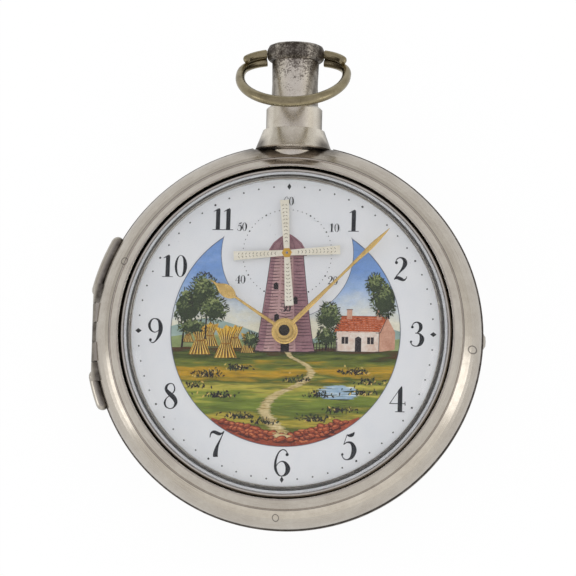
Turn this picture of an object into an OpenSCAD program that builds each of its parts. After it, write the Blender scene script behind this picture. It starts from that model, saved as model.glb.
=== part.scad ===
// Pair-cased verge pocket watch with a painted dial and small seconds shown by windmill sails.
// It lies on the back of its outer case, dial up. +Z is towards the dial, +Y towards the pendant.

/* [Cases] */
// Gap between the walls of the two cases at the band
case_gap = 1.9; // [1.7:0.1:2.5]
// Width of the outer case's curved part, from the flat under it to its edge
bowl_w = 15.5; // [15:0.1:16]
// Thickness of the outer case's metal
case_wall = 0.7; // [0.5:0.05:0.8]
// Height of the outer bezel over the joint
bezel_h = 5.6; // [5.5:0.1:6]
// How far the outer bezel laps over the inner one
bezel_lap = 0.9; // [0.5:0.1:1]
// Width of the bezel's sloped inner band
bezel_slope_w = 1.5; // [1.2:0.1:1.8]
// Thickness of the inner case's metal
inner_wall = 0.6; // [0.5:0.05:0.7]
// Gap between the floors of the two cases
floor_gap = 0.3; // [0.2:0.05:0.4]
// Radius of the winding hole
winding_hole_r = 2; // [1.7:0.1:2.2]

/* [Hinges and catch] */
// Length of the side hinge's tubes
hinge_len = 14.4; // [13:0.2:16]
// Middle of the side hinge along Y
hinge_mid_y = 0.2; // [-1:0.2:1]
// Place of the hinge's north lobe's end along Y
north_lobe_y = 13.6; // [11:0.1:15]
// Place of the hinge's south lobe's end along Y
south_lobe_y = -10.2; // [-13:0.1:-9.5]
// Radius of the side hinge's tubes
hinge_tube_r = 1.1; // [1:0.05:1.2]
// Radius of the side hinge's pin
hinge_pin_r = 0.45; // [0.35:0.05:0.55]
// Radius of the inner hinge's tubes
inner_tube_r = 0.55; // [0.5:0.05:0.6]
// Length of the inner hinge
inner_hinge_len = 7; // [6:0.5:7.5]
// Radius of the push button
button_r = 1.2; // [1:0.1:1.3]
// Travel of the push button
button_travel = 0.7; // [0.4:0.1:0.8]

/* [Crystal] */
// Width of the inner bezel's ring round the crystal
glass_ring_w = 1.7; // [1.5:0.1:1.9]
// Height of the crystal's crown over its seat
crystal_h = 6.3; // [5.6:0.1:7]
// Thickness of the crystal
crystal_t = 1; // [0.8:0.1:1.1]

/* [Pendant and bow] */
// Radius of the collar at its foot
collar_r = 5.6; // [5.2:0.1:5.8]
// Height of the collar
collar_len = 3; // [2.6:0.1:3.4]
// Radius of the neck above the collar
lower_neck_r = 4.1; // [3.8:0.1:4.3]
// Height of the neck above the collar
lower_neck_len = 3.4; // [3:0.1:3.8]
// Radius of the upper neck
upper_neck_r = 3.35; // [3:0.05:3.6]
// Height of the upper neck
upper_neck_len = 7; // [6.4:0.1:7.6]
// Radius of the cap
cap_r = 4.15; // [3.9:0.05:4.4]
// Height of the cap along the pendant
cap_len = 2.5; // [2.4:0.1:3.2]
// Radius of the bow's ring to the middle of its wire
bow_r = 7.8; // [7.4:0.1:8.4]
// Radius of the bow's wire
bow_wire_r = 0.7; // [0.6:0.05:0.75]
// Lean of the bow from the dial's plane
bow_lean = 54.5; // [40:0.5:90]

/* [Dial and hands] */
// Radius of the enamel dial
dial_r = 22.9; // [20:0.1:26]
// Thickness of the enamel
dial_t = 0.6; // [0.5:0.05:0.65]
// Rise of the dial's middle above its edge
dial_dome = 0.7; // [0.5:0.05:0.75]
// Distance of the minute hand's tip from the dial's edge
minute_tip_gap = 1.7; // [1.6:0.1:4]
// Length of the hour hand
hour_hand_len = 13.6; // [12:0.1:15]
// Length of each sail
sail_len = 7.75; // [6.5:0.05:8.5]
// Breadth of each sail
sail_w = 1.3; // [1:0.1:1.6]

/* [Movement] */
// Height of the pillars between the plates
pillar_h = 6.6; // [6.4:0.1:7.6]
// Thickness of both plates
plate_t = 1.2; // [1.1:0.05:1.2]
// Radius of the pillars
pillar_r = 1; // [0.8:0.05:1.2]
// Thickness of the barrel's wall
barrel_wall = 0.4; // [0.3:0.05:0.5]
// Largest radius of the fusee on a pillar plate of radius 21.3
fusee_size = 6.2; // [5.6:0.1:6.5]
// Height of the fusee's grooved cone
fusee_h = 3.9; // [3.5:0.1:4.2]
// Across the flats of the winding square
square_w = 1.4; // [1.2:0.05:1.5]
// Radius of the crown wheel
crown_r = 2.4; // [2.1:0.05:2.5]

/* [Hidden] */
$fn = 72;
far = 100;         // reach of a cut that goes right through
eps = 0.01;
run_gap = 0.03;    // running clearance of a pivot in its hole, on the radius
body_gap = 0.1;    // gap between pieces that move against each other
ARC = 10;          // flats along a bowl's quarter

// Radii, from the dial outwards to the outer case
glass_opening_r = dial_r + 0.3;
crystal_r = glass_opening_r + 0.4;
inner_bezel_r = crystal_r + glass_ring_w;
inner_r = inner_bezel_r + 0.6;
opening_r = inner_bezel_r - bezel_lap;
case_r = inner_r + case_gap + case_wall;
case_flat_r = case_r - bowl_w;

// Radii, from the dial inwards to the plates
dial_plate_r = dial_r - 0.3;
pillar_plate_r = dial_r - 1.6;
top_plate_r = pillar_plate_r - 1.8;
cock_foot_r = top_plate_r - 1.9;
shelf_r = pillar_plate_r + 0.4;
shelf_t = 0.45;

// Levels, from the floors of the cases up to the hands
inner_floor_z = case_wall + floor_gap;
cock_z = inner_floor_z + inner_wall + 1.2;
cock_t = 0.7;
balance_z = cock_z + cock_t + 0.4;
balance_t = 0.6;
hairspring_z = balance_z + balance_t + 0.35;
hairspring_t = 0.25;
rack_z = hairspring_z + hairspring_t + 0.2;
rack_t = 0.35;
top_plate_z = rack_z + rack_t + 0.15;
pillar_z = top_plate_z + plate_t;
pillar_plate_z = pillar_z + pillar_h;
pillar_plate_top = pillar_plate_z + plate_t;
shelf_z = pillar_plate_top;
inner_rim_z = shelf_z + 0.1;
joint_z = shelf_z - 2.2;
pendant_z = joint_z - 0.4;
dial_z = shelf_z + 1.6;
inner_bezel_low_z = inner_rim_z + body_gap;
inner_bezel_top_z = dial_z + dial_t + 0.8;
crystal_low_z = inner_bezel_top_z - 0.6;
crystal_top_z = crystal_low_z + crystal_h;
crystal_power = 2.6;
bezel_top_z = joint_z + bezel_h;
hand_t = 0.25;
hand_gap = 0.25;
sail_z = dial_z + dial_t + dial_dome + 0.45;
hour_hand_z = sail_z + hand_t + hand_gap;
minute_hand_z = hour_hand_z + hand_t + hand_gap + 0.05;
minute_hand_len = dial_r - minute_tip_gap;

// Outer case
bezel_r = case_r - 0.2;
bezel_low_z = joint_z + body_gap;
step_r = opening_r + bezel_slope_w;
step_z = bezel_top_z - bezel_slope_w;
lip_h = 0.7;
lip_t = 0.4;
lip_out_r = case_r - case_wall - 0.5;
button_z = joint_z - 2.1;
button_x = wall_r(button_z) + button_travel - 0.25;
button_len = 1.6;
spring_t = 0.25;
spring_r = button_x - button_len - 0.15;
spring_w = 1.6;
spring_pivot_y = -9;
spring_span = asin(-spring_pivot_y / spring_r);
function wall_r(z) = case_flat_r + (case_r - case_flat_r) * sqrt(1 - pow((joint_z - z) / joint_z, 2));

// Side hinge
hinge_x = 0.8 - case_r;
hinge_z = joint_z + 0.05;
knuckle_count = 5;
knuckle_gap = 0.1;
knuckle_len = hinge_len / knuckle_count;
lobe_r = 0.95;
lobe_ring_r = case_r + 0.35;
lobe_z = joint_z - 0.3;
hinge_relief = hinge_tube_r + 0.15;
hinge_web = hinge_tube_r + 0.5;

// Inner hinge
inner_hinge_x = -inner_bezel_r - 0.1;
inner_hinge_z = inner_bezel_low_z;
inner_pin_r = 0.28;

// Pendant and bow
collar_y = case_r - 1;
collar_end_y = collar_y + collar_len;
lower_neck_end_y = collar_end_y + lower_neck_len;
cap_y = lower_neck_end_y + upper_neck_len;
pendant_end_y = cap_y + cap_len;
bow_pivot_y = pendant_end_y - cap_len / 2;
bow_pin_r = 0.4;
bow_side_gap = 0.12;
bow_end_x = cap_r + bow_side_gap;
bow_offset = 2 * bow_wire_r - 0.1;
bow_open = asin(bow_end_x / bow_r);
bow_reach = bow_r * cos(bow_open) - 0.39;
ear_sweep = 24;
root_r = 3;
foot_r = upper_neck_r + 0.45;
foot_room_r = foot_r + 0.3;
notch_r = collar_r + 0.3;
notch_y = inner_r + 0.05;
foot_y = notch_y + 0.15;

// Places of the arbors, drawn for a pillar plate of radius 21.3 and moved with the real one
plan = pillar_plate_r / 21.3;
pillar_ring_r = plan * 17.5;
CENTRE = [0, 0];
CONTRATE = plan * [0, 11.5];
THIRD = plan * [-5.5, 5.8];
FUSEE = plan * [5.6, -9.7];
BARREL = plan * [-9.8, -8.6];
MINUTE = plan * [0, -4.8];
REGULATOR = plan * [-4.1, 0.2];
crown_turn = -45;                 // direction of the crown wheel's arbor from the contrate arbor
verge_u = plan * 10.2;            // distance of the verge along it
VERGE = CONTRATE + verge_u * [cos(crown_turn), sin(crown_turn)];
cock_dir = atan2(VERGE[1], VERGE[0]);
PILLAR_TURNS = [8, 128, 184, 260];

// Teeth: counts and modules
great_n = 54;
centre_pinion_n = 12;
centre_n = 64;
third_pinion_n = 8;
third_n = 60;
contrate_pinion_n = 8;
contrate_n = 48;
crown_pinion_n = 6;
crown_n = 15;
cannon_n = 12;
minute_n = 36;
minute_pinion_n = 10;
hour_n = 40;
great_m = 2 * norm(FUSEE - CENTRE) / (great_n + centre_pinion_n);
centre_m = 2 * norm(THIRD - CENTRE) / (centre_n + third_pinion_n);
third_m = 2 * norm(CONTRATE - THIRD) / (third_n + contrate_pinion_n);
cannon_m = 2 * norm(MINUTE - CENTRE) / (cannon_n + minute_n);
hour_m = 2 * norm(MINUTE - CENTRE) / (hour_n + minute_pinion_n);
contrate_r = plan * 4.6;
contrate_face = 0.4;
contrate_tooth_h = 0.4;
crown_m = 2 * contrate_r / contrate_n;

// Levels of the wheels
crown_z = pillar_z + 3.5;
third_wheel_z = crown_z - 0.2;
contrate_z = crown_z + crown_m * crown_pinion_n / 2 + 0.29;
great_z = pillar_plate_z - 1.65;
great_t = 0.8;
centre_wheel_z = pillar_plate_z - 0.55;
wheel_t = 0.4;
barrel_z = pillar_z + 0.3;
barrel_h = pillar_h - 2.2;
fusee_z = great_z - 0.25 - fusee_h;
fusee_r = plan * fusee_size;
motion_z = pillar_plate_top + 0.15;
pivot_r = 0.2;
arbor_r = 0.45;
arbor_fit = 0.01;                 // a round arbor is this much smaller than the flats of its wheel's hole

// Barrel and chain: the wound chain stays inside the pillar plate's rim
chain_t = 0.35;
chain_w = 0.9;
chain_rim_gap = 0.61;
coil_r = pillar_plate_r - norm(BARREL) - chain_rim_gap;
barrel_r = coil_r - chain_t;
barrel_post_r = 0.8;
lid_t = 0.3;
barrel_floor_t = 0.4;

// Balance and cock: the balance turns clear of the cock's foot
foot_in = 0.75;                   // the foot reaches this far inwards from its screw, and a little more out
foot_t = 1.55;
balance_gap = 0.16;
balance_r = cock_foot_r - foot_in - norm(VERGE) - balance_gap;
cock_r = balance_r + 0.5;

// Points on an arc
function arc(r, from, to, steps) = [
    for (i = [0:steps]) let (a = from + (to - from) * i / steps) [r * cos(a), r * sin(a)]
];

// Quarter of a bowl in section, from its flat floor up to its rim
function bowl_side(flat, r, low, high) = [
    for (i = [0:ARC]) let (a = 90 * i / ARC) [flat + (r - flat) * sin(a), high - (high - low) * cos(a)]
];

// A sector of a ring, as a polygon
function sector(r1, r2, from, to, steps) = concat(arc(r1, from, to, steps), arc(r2, to, from, steps));

// Outline of a toothed wheel: half widths are shares of the angular pitch
function teeth(n, m, add, ded, at_pitch, at_tip, turn) = [
    for (i = [0:n - 1], p = [[-ded, -at_pitch * 1.1], [0, -at_pitch], [add, -at_tip],
                             [add, at_tip], [0, at_pitch], [-ded, at_pitch * 1.1]])
        let (r = n * m / 2 + p[0] * m, a = turn + (i + p[1]) * 360 / n) [r * cos(a), r * sin(a)]
];

module at_place(at) { translate([at[0], at[1], 0]) children(); }

// A flat-sided hole or post: its flats lie at radius r
module flat_post(r, h) { cylinder(r = r / cos(15), h = h, $fn = 12); }

// A wheel's teeth with crossings cut out
module wheel(n, m, t, turn, hole, hub_r, rim, spokes = 4) {
    root = n * m / 2 - 0.9 * m;
    difference() {
        linear_extrude(t) polygon(teeth(n, m, 0.7, 0.9, 0.19, 0.06, turn));
        translate([0, 0, -1]) flat_post(hole, t + 2);
        if (spokes > 0)
            for (i = [0:spokes - 1])
                let (lag = asin(0.35 / hub_r), lead = asin(0.35 / (root - rim)), mid = 360 * i / spokes)
                    translate([0, 0, -1]) linear_extrude(t + 2) polygon(concat(
                        arc(hub_r, mid + lag, mid + 360 / spokes - lag, 5),
                        arc(root - rim, mid + 360 / spokes - lead, mid + lead, 9)));
    }
}

module pinion(n, m, t, turn, hole) {
    difference() {
        linear_extrude(t) polygon(teeth(n, m, 0.5, 1, 0.16, 0.07, turn));
        translate([0, 0, -1]) flat_post(hole, t + 2);
    }
}

// Direction from one arbor to another
function bearing(from, to) = atan2(to[1] - from[1], to[0] - from[0]);

// A flat spiral strip
function spiral_point(r1, r2, turns, i, steps, side) =
    let (s = i / steps, r = r1 + (r2 - r1) * s + side, a = 360 * turns * s) [r * cos(a), r * sin(a)];
module spiral(r1, r2, turns, strip, h, steps) {
    linear_extrude(h) polygon(concat(
        [for (i = [0:steps]) spiral_point(r1, r2, turns, i, steps, strip / 2)],
        [for (i = [steps:-1:0]) spiral_point(r1, r2, turns, i, steps, -strip / 2)]));
}

// Lays its children with +Z along +Y
module along_y(x, y, z) { translate([x, y, z]) rotate([-90, 0, 0]) children(); }

// Lays its children with +Z along the crown wheel's arbor
module along_crown(u) {
    translate([CONTRATE[0] + u * cos(crown_turn), CONTRATE[1] + u * sin(crown_turn), crown_z])
        rotate([0, 0, crown_turn]) rotate([0, 90, 0]) children();
}

// The potence's own axes: u along the crown arbor, v across it, z up
module crown_frame() { translate([CONTRATE[0], CONTRATE[1], 0]) rotate([0, 0, crown_turn]) children(); }

// Outer case

module pendant_notch() {
    along_y(0, notch_y, pendant_z) cylinder(r = foot_room_r, h = case_r - notch_y + 3);
    along_y(0, collar_y - body_gap, pendant_z) cylinder(r = notch_r, h = case_r - collar_y + 3);
}

module hinge_room(r) {
    along_y(hinge_x, hinge_mid_y - hinge_len / 2 - 0.5, hinge_z) cylinder(r = r, h = hinge_len + 1);
}

// Lobe in which the hinge ends at its north (1) or south (-1) end, grown by a gap
module lobe(side, grow) {
    start = asin((hinge_len / 2 + side * hinge_mid_y - 0.9) / lobe_ring_r);
    end = asin(side * (side > 0 ? north_lobe_y : south_lobe_y) / lobe_ring_r);
    translate([0, 0, lobe_z]) mirror([0, side > 0 ? 0 : 1, 0]) {
        rotate([0, 0, 180 - end]) rotate_extrude(angle = end - start)
            translate([lobe_ring_r, 0]) circle(lobe_r + grow);
        for (a = [start, end]) rotate([0, 0, 180 - a]) translate([lobe_ring_r, 0, 0])
            sphere(lobe_r + grow - 0.03);
    }
}

function knuckle_y(i) = hinge_mid_y + (i - (knuckle_count - 1) / 2) * knuckle_len;

// Knuckle number i of the side hinge with the web that joins it to a shell
module knuckle(i, low, high, shell_r) {
    y0 = knuckle_y(i) - knuckle_len / 2 + knuckle_gap / 2;
    len = knuckle_len - knuckle_gap;
    web_w = 5;
    difference() {
        union() {
            along_y(hinge_x, y0, hinge_z) cylinder(r = hinge_tube_r, h = len);
            difference() {
                union() {
                    translate([hinge_x - 0.5, y0, low]) cube([web_w, len, high - low]);
                    if (i == 0) lobe(-1, 0);
                    if (i == knuckle_count - 1) lobe(1, 0);
                }
                cylinder(r = shell_r, h = far);
            }
        }
        along_y(hinge_x, knuckle_y(0) - knuckle_len / 2 - 0.1, hinge_z)
            cylinder(r = hinge_pin_r + run_gap, h = hinge_len + 0.2);
    }
}

lip_hinge_x = 7 - case_r;         // the lip stops here, clear of the hinge
lip_catch_w = 24;                 // width of its opening for the catch spring
module outer_back() {
    color("silver") union() {
        difference() {
            rotate_extrude() polygon(concat([[0, 0]], bowl_side(case_flat_r, case_r, 0, joint_z),
                [[case_r - case_wall, joint_z]],
                [for (i = [ARC:-1:0]) bowl_side(case_flat_r, case_r - case_wall, case_wall, joint_z)[i]],
                [[0, case_wall]]));
            hinge_room(hinge_relief);
            pendant_notch();
            translate([0, 0, button_z]) rotate([0, 90, 0]) cylinder(r = button_r + 0.05, h = far);
        }
        difference() {
            translate([0, 0, joint_z - lip_h]) rotate_extrude() polygon([
                [lip_out_r - lip_t, 0], [case_r - case_wall + 0.02, 0],
                [case_r - case_wall + 0.02, lip_h * 0.6], [lip_out_r, lip_h * 0.9],
                [lip_out_r, lip_h * 1.7], [lip_out_r - lip_t, lip_h * 1.7]]);
            translate([lip_hinge_x - far, -far / 2, 0]) cube(far);
            pendant_notch();
            translate([0, -lip_catch_w / 2, 0]) cube([far, lip_catch_w, far]);
        }
        for (i = [0, 2, 4]) knuckle(i, hinge_z - hinge_web, joint_z - body_gap, case_r - case_wall);
    }
}

// Section of the outer bezel from its foot over the step to the opening and back inside
BEZEL_STEPS = 8;
bezel_curve = 2.2;
function bezel_point(s, inset, top) =
    [step_r - inset + (bezel_r - step_r) * (1 - pow(s, bezel_curve)), bezel_low_z + (top - bezel_low_z) * s];
bezel_side = [for (i = [0:BEZEL_STEPS]) bezel_point(i / BEZEL_STEPS, 0, step_z)];
bezel_inside = [for (i = [BEZEL_STEPS:-1:0]) bezel_point(i / BEZEL_STEPS, case_wall, step_z - 0.45)];

module outer_bezel() {
    color("silver") union() {
        difference() {
            rotate_extrude() polygon(concat(bezel_side,
                [[step_r - 0.12, step_z - 0.04],
                 [(step_r + opening_r) / 2 + 0.1, bezel_top_z - bezel_slope_w / 2],
                 [opening_r + 0.3, bezel_top_z], [opening_r + 0.1, bezel_top_z - 0.02],
                 [opening_r, bezel_top_z - 0.15], [opening_r, bezel_top_z - case_wall]],
                bezel_inside));
            hinge_room(hinge_relief);
            for (side = [-1, 1]) lobe(side, body_gap);
            pendant_notch();
        }
        for (i = [1, 3]) knuckle(i, joint_z + 0.3, hinge_z + hinge_web, bezel_r - case_wall);
    }
}

module outer_hinge_pin() {
    color("gray") along_y(hinge_x, knuckle_y(0) - knuckle_len / 2, hinge_z)
        cylinder(r = hinge_pin_r, h = hinge_len);
}

module push_button() {
    color("silver") translate([button_x, 0, button_z]) rotate([0, -90, 0]) rotate_extrude()
        polygon([[0, 0], [button_r * 0.6, 0.08], [button_r, 0.4], [button_r, button_len], [0, button_len]]);
}

module catch_spring() {
    color("lightsteelblue") {
        translate([0, 0, button_z - spring_w / 2]) linear_extrude(spring_w)
            polygon(sector(spring_r - spring_t, spring_r, -spring_span - 3, 4, 8));
        translate([0, 0, button_z + spring_w / 2])
            linear_extrude(joint_z - button_z - spring_w / 2 - body_gap)
            polygon(sector(spring_r - spring_t, spring_r, -2.4, 2.4, 3));
    }
}

// Inner case

module inner_back() {
    inside = bowl_side(case_flat_r, inner_r - inner_wall, inner_floor_z + inner_wall, inner_rim_z);
    color("silver") union() {
        difference() {
            rotate_extrude() polygon(concat([[0, inner_floor_z]],
                bowl_side(case_flat_r, inner_r, inner_floor_z, inner_rim_z),
                [for (i = [ARC:-1:0]) inside[i]],
                [[0, inner_floor_z + inner_wall]]));
            at_place(FUSEE) cylinder(r = winding_hole_r, h = cock_z);
            inner_hinge_room();
        }
        difference() {
            translate([0, 0, shelf_z - shelf_t]) rotate_extrude()
                polygon([[shelf_r, 0], [inner_r - inner_wall / 2, 0],
                         [inner_r - inner_wall / 2, shelf_t], [shelf_r, shelf_t]]);
            translate([-joint_w / 2 - joint_room, 0, 0])
                cube([joint_w + 2 * joint_room, joint_y + 0.9, far]);
            inner_hinge_room();
        }
        for (i = [0, 2])
            inner_knuckle(i, inner_hinge_z - inner_tube_r - 0.5, inner_rim_z - body_gap,
                          inner_r - inner_wall);
        for (s = [-1, 1]) movement_knuckle(s);
    }
}

module inner_hinge_room() {
    along_y(inner_hinge_x, -inner_hinge_len / 2 - 0.2, inner_hinge_z)
        cylinder(r = inner_tube_r + 0.12, h = inner_hinge_len + 0.4);
}

inner_knuckle_len = inner_hinge_len / 3;
module inner_knuckle(i, low, high, shell_r) {
    y0 = (i - 1.5) * inner_knuckle_len + 0.05;
    len = inner_knuckle_len - 0.1;
    difference() {
        union() {
            along_y(inner_hinge_x, y0, inner_hinge_z) cylinder(r = inner_tube_r, h = len);
            difference() {
                translate([inner_hinge_x - 0.25, y0, low]) cube([1.6, len, high - low]);
                cylinder(r = shell_r, h = far);
            }
        }
        along_y(inner_hinge_x, -inner_hinge_len, inner_hinge_z)
            cylinder(r = inner_pin_r + run_gap, h = 2 * inner_hinge_len);
    }
}

inner_skirt_t = 0.7;
module inner_bezel() {
    color("silver") union() {
        difference() {
            rotate_extrude() polygon([
                [inner_bezel_r - inner_skirt_t, inner_bezel_low_z], [inner_bezel_r, inner_bezel_low_z],
                [inner_bezel_r, inner_bezel_low_z + 0.8], [crystal_r + 0.6, inner_bezel_top_z - 0.35],
                [crystal_r + 0.35, inner_bezel_top_z], [crystal_r + 0.05, inner_bezel_top_z],
                [crystal_r, inner_bezel_top_z - 0.1], [crystal_r, crystal_low_z],
                [glass_opening_r, crystal_low_z], [glass_opening_r, crystal_low_z - 0.35],
                [inner_bezel_r - inner_skirt_t, inner_bezel_low_z + 0.9]]);
            inner_hinge_room();
        }
        inner_knuckle(1, inner_bezel_low_z + 0.15, inner_hinge_z + inner_tube_r + 0.3,
                      inner_bezel_r - inner_skirt_t);
    }
}

module inner_hinge_pin() {
    color("gray") along_y(inner_hinge_x, -inner_hinge_len / 2, inner_hinge_z)
        cylinder(r = inner_pin_r, h = inner_hinge_len);
}

// Half of a dome in section, a full curve that drops steeply at its edge
DOME_STEPS = 14;
function dome(r, low, high) = [
    for (i = [0:DOME_STEPS])
        let (a = 90 * i / DOME_STEPS, power = 2 / crystal_power)
            [r * pow(max(cos(a), 0), power), low + (high - low) * pow(sin(a), power)]
];

module crystal() {
    inside = dome(crystal_r - crystal_t, crystal_low_z, crystal_top_z - crystal_t);
    color("lightcyan", 0.4) rotate_extrude() polygon(concat(
        dome(crystal_r, crystal_low_z, crystal_top_z), [for (i = [DOME_STEPS:-1:0]) inside[i]]));
}

// Pendant and bow

// Its foot passes through the notch of the outer case, and the collar stands outside it
module pendant() {
    color("silver") difference() {
        along_y(0, 0, pendant_z) rotate_extrude() polygon([
            [0, inner_r - 1], [root_r, inner_r - 1], [root_r, foot_y], [foot_r, foot_y],
            [foot_r, collar_y - 0.25], [foot_r + 0.25, collar_y], [collar_r - 0.15, collar_y],
            [collar_r, collar_y + 0.15],
            [lower_neck_r + 0.4, collar_end_y], [lower_neck_r, collar_end_y + 0.1],
            [lower_neck_r, lower_neck_end_y - 0.25], [lower_neck_r - 0.25, lower_neck_end_y],
            [upper_neck_r + 0.12, lower_neck_end_y + 0.3],
            [upper_neck_r, (lower_neck_end_y + cap_y) / 2],
            [upper_neck_r + 0.1, cap_y - 0.1], [cap_r - 0.35, cap_y], [cap_r - 0.05, cap_y + 0.3],
            [cap_r, cap_y + 0.6], [cap_r, pendant_end_y - 0.8], [cap_r - 0.25, pendant_end_y - 0.3],
            [cap_r - 0.8, pendant_end_y - 0.05], [0, pendant_end_y]]);
        cylinder(r = inner_r, h = far);
        translate([-far / 2, bow_pivot_y, pendant_z]) rotate([0, 90, 0])
            cylinder(r = bow_pin_r + run_gap, h = far);
    }
}

// The bow in its own axes: pivot at the origin, ring towards +Y
module bow_ring() {
    difference() {
        union() {
            translate([0, bow_reach, bow_offset]) rotate([0, 0, -90 + bow_open - 6])
                rotate_extrude(angle = 372 - 2 * bow_open) translate([bow_r, 0]) circle(bow_wire_r);
            for (side = [0, 1]) mirror([side, 0, 0])
                translate([0, bow_reach, 0]) rotate([0, 0, -90 + bow_open - 6])
                    rotate_extrude(angle = ear_sweep + 6) translate([bow_r, 0]) circle(bow_wire_r);
        }
        translate([-bow_end_x, -bow_reach / 2, -far / 2]) cube([2 * bow_end_x, bow_reach, far]);
    }
}

module bow() {
    color("darkkhaki") translate([0, bow_pivot_y, pendant_z]) rotate([180 - bow_lean, 0, 0])
        difference() {
            bow_ring();
            translate([-far / 2, 0, 0]) rotate([0, 90, 0]) cylinder(r = bow_pin_r, h = far);
        }
}

module bow_pin() {
    reach = bow_end_x + 0.8;
    color("gray") translate([-reach, bow_pivot_y, pendant_z]) rotate([0, 90, 0])
        cylinder(r = bow_pin_r, h = 2 * reach);
}

// Dial side of the movement

joint_w = 6;
joint_room = 0.2;
joint_y = inner_r - 2.2;
joint_tube_z = shelf_z - 0.85;
joint_tube_r = 0.55;
joint_pin_r = 0.22;

module joint_tube(x0, x1) {
    translate([x0, joint_y, joint_tube_z]) rotate([0, 90, 0]) cylinder(r = joint_tube_r, h = x1 - x0);
}
module joint_bore(r) {
    translate([-joint_w / 2, joint_y, joint_tube_z]) rotate([0, 90, 0]) cylinder(r = r, h = joint_w);
}

module movement_knuckle(side) {
    len = joint_w / 3 - body_gap;
    x0 = side > 0 ? joint_w / 6 + body_gap / 2 : (body_gap - joint_w) / 2;
    difference() {
        union() {
            joint_tube(x0, x0 + len);
            intersection() {
                translate([x0, joint_y, joint_tube_z - 0.4]) cube([len, 3, 0.6]);
                cylinder(r = inner_r - inner_wall / 2, h = far);
            }
        }
        joint_bore(joint_pin_r + run_gap);
    }
}

function dial_top(r) = dial_z + dial_t + dial_dome * (1 - pow(r / dial_r, 2));
DIAL_STEPS = 6;
dial_hole_r = 1.5;
seconds_hole_r = 0.6;

module dial() {
    color("white") difference() {
        rotate_extrude() polygon(concat(
            [for (i = [0:DIAL_STEPS]) let (r = dial_r * i / DIAL_STEPS) [r, dial_top(r)]],
            [for (i = [DIAL_STEPS:-1:0]) let (r = dial_r * i / DIAL_STEPS) [r, dial_top(r) - dial_t]]));
        cylinder(r = dial_hole_r, h = far);
        at_place(CONTRATE) cylinder(r = seconds_hole_r, h = far);
    }
}

module dial_plate() {
    in_r = pillar_plate_r - 0.8;
    len = joint_w / 3 - body_gap;
    tongue_y = dial_plate_r - 1.5;
    color("goldenrod") union() {
        translate([0, 0, shelf_z]) rotate_extrude()
            polygon([[in_r, 0], [dial_plate_r, 0], [dial_plate_r, dial_z - shelf_z],
                     [in_r, dial_z - shelf_z]]);
        difference() {
            union() {
                translate([-len / 2, tongue_y, shelf_z - shelf_t]) cube([len, joint_y - tongue_y, shelf_t]);
                joint_tube(-len / 2, len / 2);
            }
            joint_bore(joint_pin_r);
        }
    }
}

module movement_joint_pin() { color("gray") joint_bore(joint_pin_r); }

bolt_w = 2.4;
bolt_t = 0.5;
bolt_z = pillar_plate_z + 0.2;
bolt_len = 4;
bolt_travel = 0.6;
thumb_w = 0.6;
bolt_tip_y = -shelf_r - 0.6;
module latch_bolt() {
    color("lightsteelblue") {
        translate([-bolt_w / 2, bolt_tip_y, bolt_z]) cube([bolt_w, bolt_len, bolt_t]);
        translate([-thumb_w / 2, bolt_tip_y + bolt_len - 2 * thumb_w - 0.2, bolt_z - thumb_w])
            cube([thumb_w, 2 * thumb_w, thumb_w + 0.1]);
    }
}

// Frame of the movement

module pivot_hole(at, r = pivot_r) {
    at_place(at) cylinder(r = r + run_gap, h = far);
}

module pillar_plate() {
    slot_w = bolt_w + 2 * body_gap;
    slot_end_y = bolt_tip_y + bolt_len + bolt_travel + 0.2;
    color("goldenrod") difference() {
        translate([0, 0, pillar_plate_z]) cylinder(r = pillar_plate_r, h = plate_t);
        pivot_hole(CENTRE, centre_post_r);
        pivot_hole(CONTRATE, pivot_r);
        pivot_hole(THIRD);
        pivot_hole(FUSEE, fusee_pivot_r);
        at_place(BARREL) cylinder(r = barrel_post_r, h = far);
        at_place(MINUTE) cylinder(r = minute_post_r, h = far);
        for (a = PILLAR_TURNS) rotate([0, 0, a]) translate([pillar_ring_r, 0, 0])
            cylinder(r = tenon_r, h = far);
        translate([-slot_w / 2, slot_end_y - far, bolt_z + bolt_t + body_gap - far])
            cube([slot_w, far, far]);
        translate([-joint_w / 2 - 0.3, dial_plate_r - 2, 0]) cube([joint_w + 0.6, far, far]);
    }
}

module top_plate() {
    color("goldenrod") difference() {
        translate([0, 0, top_plate_z]) cylinder(r = top_plate_r, h = plate_t);
        pivot_hole(CENTRE);
        pivot_hole(CONTRATE);
        pivot_hole(THIRD);
        pivot_hole(FUSEE, fusee_shoulder_r);
        at_place(BARREL) cylinder(r = barrel_post_r, h = far);
        pivot_hole(VERGE, verge_hole_r);
        for (a = PILLAR_TURNS) rotate([0, 0, a]) translate([pillar_ring_r, 0, 0])
            cylinder(r = tenon_r, h = far);
        pivot_hole(REGULATOR, disc_post_r);
        rotate([0, 0, cock_dir]) translate([cock_foot_r, 0, 0]) cylinder(r = cock_screw_r, h = far);
    }
}

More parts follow.
